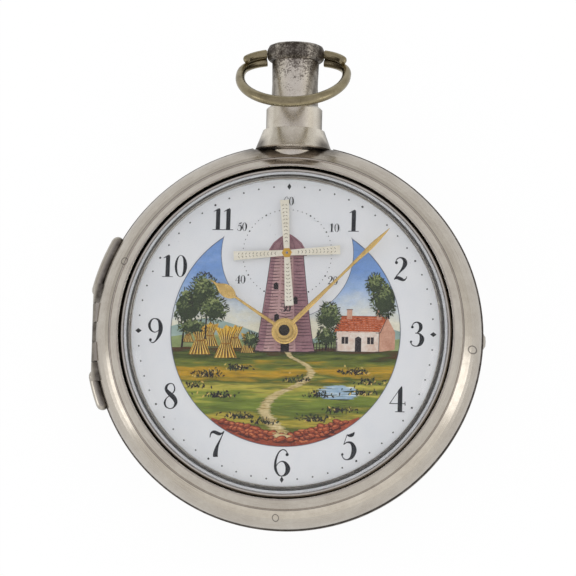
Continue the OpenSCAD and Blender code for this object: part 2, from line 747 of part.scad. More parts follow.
tenon_r = pillar_r * 0.6;
tenon_out = 0.9;                  // how far a pillar's foot stands out below the top plate
pin_r = 0.2;
pillar_pin_z = top_plate_z - 0.3;
PILLAR_SHAPE = [[0, 0], [1, 0], [1, 0.1], [0.7, 0.18], [0.6, 0.3], [0.95, 0.45], [0.95, 0.55],
                [0.6, 0.7], [0.7, 0.82], [1, 0.9], [1, 1], [0, 1]];
module pillars() {
    color("goldenrod") for (a = PILLAR_TURNS) rotate([0, 0, a]) translate([pillar_ring_r, 0, 0]) {
        difference() {
            union() {
                translate([0, 0, pillar_z]) rotate_extrude()
                    polygon([for (p = PILLAR_SHAPE) [p[0] * (pillar_r + 0.3), p[1] * pillar_h]]);
                translate([0, 0, pillar_plate_z - eps]) cylinder(r = tenon_r, h = plate_t);
                translate([0, 0, top_plate_z - tenon_out])
                    cylinder(r = tenon_r, h = plate_t + tenon_out + eps);
            }
            translate([-far / 2, 0, pillar_pin_z]) rotate([0, 90, 0]) cylinder(r = pin_r, h = far);
        }
    }
}

module pillar_pins() {
    half = tenon_r + 0.5;
    color("gray") for (a = PILLAR_TURNS) rotate([0, 0, a])
        translate([pillar_ring_r - half, 0, pillar_pin_z]) rotate([0, 90, 0])
        cylinder(r = pin_r, h = 2 * half);
}

// Barrel, chain and fusee

module barrel() {
    color("goldenrod") at_place(BARREL) difference() {
        translate([0, 0, barrel_z]) cylinder(r = barrel_r, h = barrel_h - lid_t);
        translate([0, 0, barrel_z + barrel_floor_t]) cylinder(r = barrel_r - barrel_wall, h = far);
        cylinder(r = barrel_post_r + run_gap, h = far);
    }
}

module barrel_lid() {
    color("gold") at_place(BARREL) difference() {
        translate([0, 0, barrel_z + barrel_h - lid_t]) cylinder(r = barrel_r, h = lid_t);
        cylinder(r = barrel_post_r + run_gap, h = far);
    }
}

barrel_hub_r = 1.7;
ratchet_sq = 0.9;
module barrel_arbor() {
    color("lightsteelblue") at_place(BARREL) union() {
        translate([0, 0, top_plate_z]) cylinder(r = barrel_post_r, h = pillar_plate_top - top_plate_z);
        translate([0, 0, barrel_z + barrel_floor_t + body_gap])
            cylinder(r = barrel_hub_r, h = barrel_h - barrel_floor_t - lid_t - 0.3);
        translate([-ratchet_sq / 2, -ratchet_sq / 2, pillar_plate_top]) cube(ratchet_sq);
    }
}

mainspring_turns = 6;
mainspring_t = 0.2;
module mainspring() {
    color("steelblue") at_place(BARREL) translate([0, 0, barrel_z + barrel_floor_t + 0.2])
        spiral(barrel_hub_r + 0.4, barrel_r - barrel_wall - 0.15, mainspring_turns, mainspring_t,
               barrel_h - barrel_floor_t - lid_t - 0.5, 18 * mainspring_turns);
}

coil_turns = 2;
coil_step = chain_w + 0.1;
chain_z = barrel_z + barrel_floor_t + coil_step;
module chain_coil() {
    color("dimgray") at_place(BARREL) for (i = [0:coil_turns - 1])
        translate([0, 0, chain_z - coil_step * i]) difference() {
            cylinder(r = coil_r, h = chain_w);
            translate([0, 0, -1]) cylinder(r = barrel_r, h = far);
        }
}

fusee_top_r = fusee_r * 0.516;
function fusee_at(z) = fusee_r - (fusee_r - fusee_top_r) * pow((fusee_z + fusee_h - z) / fusee_h, 0.8);
chain_fusee_r = fusee_at(chain_z + chain_w) + body_gap + chain_t / 2;
chain_barrel_r = coil_r + body_gap + chain_t / 2;
chain_reach = norm(FUSEE - BARREL);
chain_side = bearing(BARREL, FUSEE) - acos((chain_barrel_r - chain_fusee_r) / chain_reach);
module chain_run() {
    from = BARREL + chain_barrel_r * [cos(chain_side), sin(chain_side)];
    to = FUSEE + chain_fusee_r * [cos(chain_side), sin(chain_side)];
    color("dimgray") translate([from[0], from[1], chain_z]) rotate([0, 0, bearing(from, to)])
        translate([0, -chain_t / 2, 0]) cube([norm(to - from), chain_t, chain_w]);
}

FUSEE_TURNS = 5;
groove = 0.25;
fusee_arbor_r = 1.1;
fusee_shoulder_r = 1.15;
fusee_pivot_r = 0.5;
great_hole_r = 0.8;
module fusee() {
    step = fusee_h / FUSEE_TURNS;
    color("goldenrod") at_place(FUSEE) difference() {
        rotate_extrude() polygon(concat([[0, fusee_z]],
            [for (i = [0:FUSEE_TURNS - 1], s = [0, 0.15, 0.85, 1])
                let (z = fusee_z + (i + s) * step) [fusee_at(z) - (s > 0 && s < 1 ? groove : 0), z]],
            [[0, fusee_z + fusee_h]]));
        cylinder(r = fusee_arbor_r, h = far);
    }
}

module great_wheel() {
    turn = bearing(FUSEE, CENTRE);
    color("gold") at_place(FUSEE) translate([0, 0, great_z])
        wheel(great_n, great_m, great_t, turn, great_hole_r, 2, 1, 0);
}

module fusee_arbor() {
    square_z = inner_floor_z + inner_wall + 0.5;
    color("lightsteelblue") at_place(FUSEE) union() {
        translate([0, 0, pillar_z + body_gap])
            cylinder(r = fusee_arbor_r, h = great_z - pillar_z - body_gap - eps);
        translate([0, 0, great_z - 0.1]) cylinder(r = great_hole_r - 0.02, h = great_t + 0.3);
        translate([0, 0, great_z + great_t])
            cylinder(r = fusee_pivot_r, h = pillar_plate_top - great_z - great_t);
        translate([0, 0, top_plate_z - 0.2]) cylinder(r = fusee_shoulder_r, h = plate_t + 0.3);
        translate([-square_w / 2, -square_w / 2, square_z])
            cube([square_w, square_w, top_plate_z - square_z - 0.1]);
    }
}

// Train

centre_post_r = 0.6;
pinion_over = 0.15;               // how far a pinion stands past the wheel that drives it
collet_r = 0.68;
module centre_wheel() {
    color("gold") union() {
        translate([0, 0, centre_wheel_z])
            wheel(centre_n, centre_m, wheel_t, bearing(CENTRE, THIRD), centre_post_r, 1.6, 0.9);
        translate([0, 0, great_z - pinion_over])
            pinion(centre_pinion_n, great_m, centre_wheel_z - great_z + pinion_over,
                   bearing(CENTRE, FUSEE) + 180 / centre_pinion_n, centre_post_r);
    }
}

module centre_arbor() {
    color("lightsteelblue") union() {
        translate([0, 0, pillar_z + body_gap])
            cylinder(r = centre_post_r - arbor_fit, h = minute_hand_z + 0.2 - pillar_z - body_gap);
        translate([0, 0, top_plate_z]) cylinder(r = pivot_r, h = plate_t + 0.2);
    }
}

module third_wheel() {
    pinion_z = centre_wheel_z - 0.25;
    color("gold") at_place(THIRD) union() {
        translate([0, 0, third_wheel_z])
            wheel(third_n, third_m, wheel_t, bearing(THIRD, CONTRATE), arbor_r, 1.3, 0.9);
        translate([0, 0, third_wheel_z + wheel_t]) difference() {
            flat_post(collet_r, pinion_z - third_wheel_z - wheel_t);
            translate([0, 0, -1]) flat_post(arbor_r, far);
        }
        translate([0, 0, pinion_z])
            pinion(third_pinion_n, centre_m, wheel_t + 0.35,
                   bearing(THIRD, CENTRE) + 180 / third_pinion_n, arbor_r);
    }
}

// An arbor of the train, whose upper pivot reaches up to a given height
module train_arbor(at, end_z) {
    color("lightsteelblue") at_place(at) union() {
        translate([0, 0, pillar_z + body_gap])
            cylinder(r = arbor_r - arbor_fit, h = pillar_h - body_gap - 0.05);
        translate([0, 0, top_plate_z]) cylinder(r = pivot_r, h = plate_t + 0.2);
        translate([0, 0, pillar_plate_z - 0.2]) cylinder(r = pivot_r, h = end_z - pillar_plate_z + 0.2);
    }
}

module third_arbor() { train_arbor(THIRD, pillar_plate_top); }

module contrate_wheel() {
    web_z = contrate_z + contrate_tooth_h;
    web_t = 0.35;
    pinion_top_z = crown_z + 0.4;
    pinion_h = 0.75;
    color("gold") at_place(CONTRATE) union() {
        translate([0, 0, web_z]) difference() {
            linear_extrude(web_t) polygon(arc(contrate_r + contrate_face / 2, 0, 345, 23));
            translate([0, 0, -1]) flat_post(arbor_r, far);
        }
        for (i = [0:contrate_n - 1]) rotate([0, 0, crown_turn + 360 * i / contrate_n])
            translate([contrate_r - contrate_face / 2 - 0.05, 0, web_z + eps]) rotate([90, 0, 90])
                linear_extrude(contrate_face) polygon(contrate_tooth);
        translate([0, 0, pinion_top_z - pinion_h])
            pinion(contrate_pinion_n, third_m, pinion_h,
                   bearing(CONTRATE, THIRD) + 180 / contrate_pinion_n, arbor_r);
        translate([0, 0, pinion_top_z]) difference() {
            flat_post(collet_r, web_z - pinion_top_z);
            translate([0, 0, -1]) flat_post(arbor_r, far);
        }
    }
}
contrate_pitch = 2 * PI * contrate_r / contrate_n;
contrate_tooth = [[-contrate_pitch * 0.24, 0], [-contrate_pitch * 0.07, -contrate_tooth_h],
                  [contrate_pitch * 0.07, -contrate_tooth_h], [contrate_pitch * 0.24, 0]];

module contrate_arbor() { train_arbor(CONTRATE, sail_z + hand_t); }

// Crown wheel, verge and balance

// Places along the crown wheel's arbor
crown_back_u = contrate_r - 1.35;
crown_pinion_u = contrate_r - 0.4;
crown_plane_u = verge_u - 1.9;
crown_tooth_u = verge_u - 0.8;
potence_u = verge_u - 0.7;
crown_arbor_r = 0.25;
fine_pivot_r = 0.12;
crown_web_t = 0.25;
crown_band = 0.7;
crown_rim = 0.25;
module crown_wheel() {
    foot_u = crown_plane_u + crown_band - eps;
    color("gold") union() {
        along_crown(crown_plane_u) difference() {
            linear_extrude(crown_web_t) polygon(arc(crown_r, 0, 348, 29));
            translate([0, 0, -1]) flat_post(crown_arbor_r, far);
        }
        along_crown(crown_plane_u + crown_web_t) difference() {
            linear_extrude(crown_band - crown_web_t) polygon(arc(crown_r, 0, 348, 29));
            translate([0, 0, -1]) linear_extrude(far) polygon(arc(crown_r - crown_rim, 0, 348, 29));
        }
        for (i = [0:crown_n - 1]) along_crown(0) rotate([0, 0, 360 * (i + 0.5) / crown_n])
            translate([crown_r - crown_rim + 0.03, 0, 0]) rotate([90, 0, 90])
                linear_extrude(crown_rim - 0.09)
                polygon([[-0.3, foot_u], [0.3, foot_u], [0.38, crown_tooth_u], [0.3, crown_tooth_u]]);
        along_crown(crown_pinion_u)
            pinion(crown_pinion_n, crown_m, 0.8, 180 / crown_pinion_n, crown_arbor_r);
    }
}

module crown_arbor() {
    shoulder_u = crown_back_u + 0.55;
    color("lightsteelblue") union() {
        along_crown(crown_back_u) cylinder(r = fine_pivot_r, h = potence_u - crown_back_u - 0.05);
        along_crown(shoulder_u)
            cylinder(r = crown_arbor_r - arbor_fit, h = crown_plane_u + crown_band - shoulder_u - 0.05);
    }
}

verge_hole_r = 0.9;
potence_w = 1.4;
potence_nose = 0.3;
verge_end_z = pillar_plate_z - 0.3;
verge_arm_z = verge_end_z - 0.35;
module potence() {
    color("goldenrod") difference() {
        crown_frame() union() {
            translate([potence_u, 1.6, pillar_z]) cube([2, potence_w, pillar_h - 0.25]);
            translate([potence_u, -0.5, crown_z - 0.5]) cube([potence_nose, 2.4, 1]);
            translate([potence_u + 0.1, -0.6, verge_arm_z]) cube([1.3, 2.6, 0.4]);
        }
        along_crown(potence_u - 0.5) cylinder(r = fine_pivot_r + run_gap, h = 1);
        translate([VERGE[0], VERGE[1], crown_z]) cylinder(r = fine_pivot_r + run_gap, h = far);
    }
}

module counter_potence() {
    color("goldenrod") difference() {
        crown_frame() translate([crown_back_u, -0.5, pillar_z]) cube([0.45, 1, crown_z - pillar_z + 0.4]);
        along_crown(crown_back_u - 1) cylinder(r = fine_pivot_r + run_gap, h = 2);
    }
}

pallet_reach = 0.6;
pallet_h = 0.8;
pallet_t = 0.16;
staff_r = 0.3;
pallet_open = 50;                 // half the angle between the pallets
module verge_staff() {
    color("lightsteelblue") at_place(VERGE) union() {
        translate([0, 0, cock_z + 0.3]) cylinder(r = fine_pivot_r, h = verge_end_z - cock_z - 0.3);
        translate([0, 0, cock_z + cock_t + 0.15])
            cylinder(r = staff_r, h = verge_arm_z - body_gap - cock_z - cock_t - 0.15);
        translate([0, 0, hairspring_z - 0.1]) cylinder(r = 0.8, h = hairspring_t + 0.2);
        rotate([0, 0, crown_turn + 180 - pallet_open])
            translate([0, -pallet_t / 2, crown_z - crown_r - 0.1]) cube([pallet_reach, pallet_t, pallet_h]);
        rotate([0, 0, crown_turn + 180 + pallet_open])
            translate([0, -pallet_t / 2, crown_z + crown_r - pallet_h - 0.05])
            cube([pallet_reach, pallet_t, pallet_h]);
    }
}

balance_rim = 0.8;
arm_w = 0.8;
module balance_wheel() {
    color("gold") at_place(VERGE) translate([0, 0, balance_z]) difference() {
        union() {
            difference() {
                cylinder(r = balance_r, h = balance_t);
                translate([0, 0, -1]) cylinder(r = balance_r - balance_rim, h = far);
            }
            cylinder(r = 1.1, h = balance_t * 0.7);
            for (i = [0:2]) rotate([0, 0, 120 * i + 20]) translate([0, -arm_w / 2, 0])
                cube([balance_r - balance_rim / 2, arm_w, balance_t * 0.6]);
        }
        translate([0, 0, -1]) cylinder(r = staff_r, h = far);
    }
}

spring_in_r = 0.95;
spring_out_r = 3.6;
hairspring_turns = 4;
hair_t = 0.08;
stud_turn = 75;
stud_w = 0.7;
module balance_spring() {
    color("steelblue") at_place(VERGE) rotate([0, 0, stud_turn]) translate([0, 0, hairspring_z])
        spiral(spring_in_r, spring_out_r, hairspring_turns, hair_t, hairspring_t, 24 * hairspring_turns);
}

module spring_stud() {
    color("lightsteelblue") at_place(VERGE) rotate([0, 0, stud_turn])
        translate([spring_out_r + hair_t / 2, -stud_w / 2, hairspring_z])
        cube([stud_w, stud_w, top_plate_z - hairspring_z]);
}

foot_w = 4;
cock_screw_r = 0.45;
module balance_cock() {
    color("goldenrod") difference() {
        union() {
            at_place(VERGE) difference() {
                translate([0, 0, cock_z]) cylinder(r = cock_r, h = cock_t);
                for (i = [0:7]) rotate([0, 0, cock_dir + 22.5 + 45 * i]) {
                    translate([cock_r * 0.72, 0, 0]) cylinder(r = cock_r * 0.15, h = far);
                    translate([cock_r * 0.4, 0, 0]) cylinder(r = cock_r * 0.09, h = far);
                }
            }
            rotate([0, 0, cock_dir]) translate([cock_foot_r - 3.1, -foot_w / 2, cock_z + 0.3])
                cube([3.9, foot_w, cock_t]);
            rotate([0, 0, cock_dir]) translate([cock_foot_r - foot_in, -foot_w / 2, cock_z + 0.5])
                cube([foot_t, foot_w, top_plate_z - cock_z - 0.5]);
        }
        translate([VERGE[0], VERGE[1], cock_z + 0.2]) cylinder(r = fine_pivot_r + run_gap, h = cock_t + 1);
        rotate([0, 0, cock_dir]) translate([cock_foot_r, 0, 0]) cylinder(r = cock_screw_r, h = far);
    }
}

module cock_screw() {
    slot_w = 0.2;
    color("steelblue") rotate([0, 0, cock_dir]) translate([cock_foot_r, 0, 0]) difference() {
        translate([0, 0, cock_z + 0.3]) cylinder(r = cock_screw_r, h = top_plate_z + 0.6 - cock_z);
        translate([-slot_w / 2, -1, cock_z]) cube([slot_w, 2, 0.5]);
    }
}

reg_dist = norm(VERGE - REGULATOR);
reg_turn = bearing(VERGE, REGULATOR);
rack_n = 90;
disc_n = 12;
rack_m = 2 * reg_dist / (rack_n + disc_n);
rack_r = rack_n * rack_m / 2;
disc_r = 2.8;
disc_t = 0.4;
disc_gap = 0.15;
disc_post_r = 0.4;
module regulator_disc() {
    turn = bearing(REGULATOR, VERGE) + 180 / disc_n;
    color("silver") at_place(REGULATOR) union() {
        translate([0, 0, rack_z - disc_gap - disc_t]) cylinder(r = disc_r, h = disc_t);
        translate([0, 0, rack_z - disc_gap - 0.1]) cylinder(r = 0.9, h = disc_gap + 0.15);
        translate([0, 0, rack_z]) linear_extrude(rack_t)
            polygon(teeth(disc_n, rack_m, 0.5, 1, 0.16, 0.07, turn));
        translate([0, 0, rack_z + rack_t - eps])
            cylinder(r = disc_post_r, h = top_plate_z - rack_z - rack_t + 0.8);
    }
}

RACK_TOOTH = [[-1.1, -0.26], [-0.8, -0.22], [0, -0.19], [0.7, -0.06],
              [0.7, 0.06], [0, 0.19], [-0.8, 0.22], [-1.1, 0.26]];
module regulator_rack() {
    half = 7;
    pitch = 360 / rack_n;
    band_r = rack_r - 1;
    color("lightsteelblue") at_place(VERGE) translate([0, 0, rack_z]) rotate([0, 0, reg_turn]) {
        for (i = [-half:half]) rotate([0, 0, i * pitch]) linear_extrude(rack_t)
            polygon([for (p = RACK_TOOTH) let (r = rack_r + p[0] * rack_m, a = p[1] * pitch)
                [r * cos(a), r * sin(a)]]);
        linear_extrude(rack_t)
            polygon(sector(band_r, rack_r - rack_m, -pitch * (half + 0.5), pitch * (half + 0.5), 10));
        translate([spring_out_r + 0.4, -0.3, 0]) cube([band_r - spring_out_r, 0.6, rack_t]);
        translate([spring_out_r + 0.55, 0, -0.45]) cylinder(r = 0.1, h = 0.5);
    }
}

SLIDE_TURNS = [15, 40];
module regulator_slide() {
    in_r = rack_r - 1.6;
    ledge_t = 0.25;
    ledge_z = rack_z - 0.05 - ledge_t;
    color("goldenrod") at_place(VERGE) rotate([0, 0, reg_turn]) for (side = [-1, 1])
        translate([0, 0, ledge_z]) {
            linear_extrude(ledge_t)
                polygon(sector(in_r, rack_r - 0.2, side * SLIDE_TURNS[0], side * SLIDE_TURNS[1], 6));
            linear_extrude(top_plate_z - ledge_z)
                polygon(sector(in_r, in_r + 0.45, side * SLIDE_TURNS[0], side * SLIDE_TURNS[1], 6));
        }
}

// Motion work

cannon_h = 0.5;
cannon_r = 0.85;
hour_hole_r = cannon_r + body_gap;
hour_pipe_r = 1.25;
minute_wheel_t = 0.3;
minute_wheel_z = motion_z + 0.08;
hour_wheel_z = motion_z + 0.6;
hour_wheel_t = 0.3;
minute_post_r = 0.4;
minute_hole_r = minute_post_r + 0.04;
module cannon_pinion() {
    color("lightsteelblue") union() {
        translate([0, 0, motion_z])
            pinion(cannon_n, cannon_m, cannon_h, bearing(CENTRE, MINUTE) + 180 / cannon_n, centre_post_r);
        translate([0, 0, motion_z + cannon_h]) difference() {
            cylinder(r = cannon_r, h = minute_hand_z - motion_z - cannon_h);
            translate([0, 0, -1]) cylinder(r = centre_post_r, h = far);
        }
    }
}

module minute_wheel() {
    turn = bearing(MINUTE, CENTRE);
    color("gold") at_place(MINUTE) union() {
        translate([0, 0, minute_wheel_z])
            wheel(minute_n, cannon_m, minute_wheel_t, turn, minute_hole_r, 1, 0.5, 0);
        translate([0, 0, minute_wheel_z + minute_wheel_t])
            pinion(minute_pinion_n, hour_m, 0.6, turn + 180 / minute_pinion_n, minute_hole_r);
    }
}

module minute_post() {
    sunk = 0.5;
    color("lightsteelblue") at_place(MINUTE) translate([0, 0, pillar_plate_top - sunk])
        cylinder(r = minute_post_r, h = sunk + 1.2);
}

module hour_wheel() {
    color("gold") union() {
        translate([0, 0, hour_wheel_z]) difference() {
            linear_extrude(hour_wheel_t)
                polygon(teeth(hour_n, hour_m, 0.7, 0.9, 0.19, 0.06, bearing(CENTRE, MINUTE)));
            translate([0, 0, -1]) flat_post(hour_hole_r, far);
        }
        translate([0, 0, hour_wheel_z + hour_wheel_t]) difference() {
            cylinder(r = hour_pipe_r, h = hour_hand_z - hour_wheel_z - hour_wheel_t);
            translate([0, 0, -1]) cylinder(r = hour_hole_r, h = far);
        }
    }
}

ratchet_n = 18;
ratchet_r = 2.6;
ratchet_root_r = 2.2;
module setup_ratchet() {
    color("lightsteelblue") at_place(BARREL) translate([0, 0, pillar_plate_top]) difference() {
        linear_extrude(0.5)
            polygon([for (i = [0:ratchet_n - 1], p = [[ratchet_root_r, 0], [ratchet_r, 0.05]])
                let (a = (i + p[1]) * 360 / ratchet_n) [p[0] * cos(a), p[0] * sin(a)]]);
        translate([-ratchet_sq / 2, -ratchet_sq / 2, -1]) cube([ratchet_sq, ratchet_sq, far]);
    }
}

// Hands and sails

minute_turn = 45.5;
hour_turn = 146.3;
sail_turn = 4;

module hand_boss(r, hole) {
    difference() {
        cylinder(r = r, h = hand_t);
        translate([0, 0, -1]) cylinder(r = hole, h = far);
    }
}

// Half of the hour hand's outline: shank, pear-shaped swelling and point
shank_w = 0.56;
bulb_r = 0.85;
bulb_x = hour_hand_len - 3.6;
hour_side = concat([[1.5, shank_w / 2], [bulb_x - 1.2, 0.2]],
    [for (i = [0:8]) let (a = 160 - 18 * i)
        [bulb_x + 1.1 * cos(a), bulb_r * sin(a) * (a > 90 ? 0.85 : 1)]],
    [[hour_hand_len - 1.6, 0.14], [hour_hand_len, 0]]);
module hour_hand() {
    last = len(hour_side) - 1;
    color("goldenrod") rotate([0, 0, hour_turn]) translate([0, 0, hour_hand_z]) union() {
        hand_boss(1.9, hour_hole_r);
        linear_extrude(hand_t) polygon(concat(hour_side,
            [for (i = [last - 1:-1:0]) [hour_side[i][0], -hour_side[i][1]]]));
    }
}

module minute_hand() {
    neck_x = minute_hand_len * 0.7;
    blade_x = minute_hand_len * 0.74;
    color("goldenrod") rotate([0, 0, minute_turn]) translate([0, 0, minute_hand_z]) union() {
        hand_boss(1.7, centre_post_r);
        linear_extrude(hand_t) polygon([[1.4, shank_w / 2], [neck_x, 0.2], [blade_x, 0.26],
            [minute_hand_len, 0.04], [minute_hand_len, -0.04],
            [blade_x, -0.26], [neck_x, -0.2], [1.4, -shank_w / 2]]);
    }
}

module hand_pin() {
    color("dimgray") translate([0, 0, minute_hand_z + hand_t]) cylinder(r = 0.8, h = 0.2);
}

sail_root_w = 0.8;
module sails() {
    color("silver") at_place(CONTRATE) rotate([0, 0, sail_turn]) translate([0, 0, sail_z]) difference() {
        union() {
            linear_extrude(hand_t - 0.05) union() {
                for (i = [0:3]) rotate(90 * i) polygon([[0, -sail_root_w / 2], [sail_len, -sail_w / 2],
                                                        [sail_len, sail_w / 2], [0, sail_root_w / 2]]);
            }
            cylinder(r = 0.75, h = 0.35, $fn = 6);
        }
        translate([0, 0, -1]) cylinder(r = pivot_r, h = far);
    }
}

outer_back();
outer_bezel();
outer_hinge_pin();
push_button();
catch_spring();
inner_back();
inner_bezel();
inner_hinge_pin();
crystal();
pendant();
bow();
bow_pin();
dial();
dial_plate();
movement_joint_pin();
latch_bolt();
pillar_plate();
top_plate();
pillars();
pillar_pins();
barrel();
barrel_lid();
barrel_arbor();
mainspring();
chain_coil();
chain_run();
fusee();
great_wheel();
fusee_arbor();
centre_wheel();
centre_arbor();
third_wheel();
third_arbor();
contrate_wheel();
contrate_arbor();
crown_wheel();
crown_arbor();
potence();
counter_potence();
verge_staff();
balance_wheel();
balance_spring();
spring_stud();
balance_cock();
cock_screw();
regulator_disc();
regulator_rack();
regulator_slide();
cannon_pinion();
minute_wheel();
minute_post();
hour_wheel();
setup_ratchet();
hour_hand();
minute_hand();
hand_pin();
sails();
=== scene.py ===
"""Looks of a pair-cased verge watch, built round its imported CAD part.

The watch lies on its back with the dial up: +X is 3 o'clock, +Y the pendant and +Z the crystal.
Lengths of the watch are written in millimetres and become metres when a mesh is finished.
"""

import logging
import math
import random
from dataclasses import dataclass, field
from enum import Enum
from typing import Any, ClassVar, Iterable, Sequence

import bmesh
import bpy
from bmesh.types import BMEdge, BMesh, BMFace, BMVert
from bpy.types import Material, Node, NodeSocket as Socket, NodeTree, Object
from mathutils import Matrix, Vector


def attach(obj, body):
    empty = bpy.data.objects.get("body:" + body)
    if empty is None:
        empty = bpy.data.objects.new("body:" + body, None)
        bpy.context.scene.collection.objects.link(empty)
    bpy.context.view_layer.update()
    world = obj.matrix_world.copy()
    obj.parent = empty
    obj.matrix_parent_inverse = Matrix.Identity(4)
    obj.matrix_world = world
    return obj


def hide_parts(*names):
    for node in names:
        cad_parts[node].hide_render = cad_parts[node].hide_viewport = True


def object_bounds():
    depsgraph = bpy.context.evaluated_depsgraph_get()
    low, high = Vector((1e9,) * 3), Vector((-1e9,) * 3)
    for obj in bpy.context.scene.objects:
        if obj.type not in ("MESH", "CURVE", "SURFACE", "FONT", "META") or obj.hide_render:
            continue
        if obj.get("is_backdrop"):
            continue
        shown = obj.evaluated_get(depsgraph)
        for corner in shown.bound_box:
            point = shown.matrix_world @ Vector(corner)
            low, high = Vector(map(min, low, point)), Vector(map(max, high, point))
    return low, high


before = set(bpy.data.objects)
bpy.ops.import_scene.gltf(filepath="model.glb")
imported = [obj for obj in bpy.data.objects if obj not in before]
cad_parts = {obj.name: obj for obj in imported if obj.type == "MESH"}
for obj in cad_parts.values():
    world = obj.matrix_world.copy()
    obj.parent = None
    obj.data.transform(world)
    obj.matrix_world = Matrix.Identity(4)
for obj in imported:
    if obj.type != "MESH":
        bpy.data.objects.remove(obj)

log = logging.getLogger("verge_watch")

MM = 0.001
WHOLE_TURN = 2 * math.pi

Triple = tuple[float, float, float]
Colour = Triple
Point = tuple[float, float]
Station = Triple


def shade(code: str) -> Colour:
    """Turns a colour written as six hex digits into linear light.

    Args:
        code: The colour as a screen shows it, such as "d8dadc".

    Returns:
        Its red, green and blue in linear light.
    """
    parts = [int(code[i : i + 2], 16) / 255 for i in (0, 2, 4)]
    return tuple(c / 12.92 if c <= 0.04045 else ((c + 0.055) / 1.055) ** 2.4 for c in parts)


class Lines(Enum):
    """How a metal surface was last worked."""

    TURNED = "turned"
    STRAIGHT = "straight"
    FROSTED = "frosted"
    POLISHED = "polished"


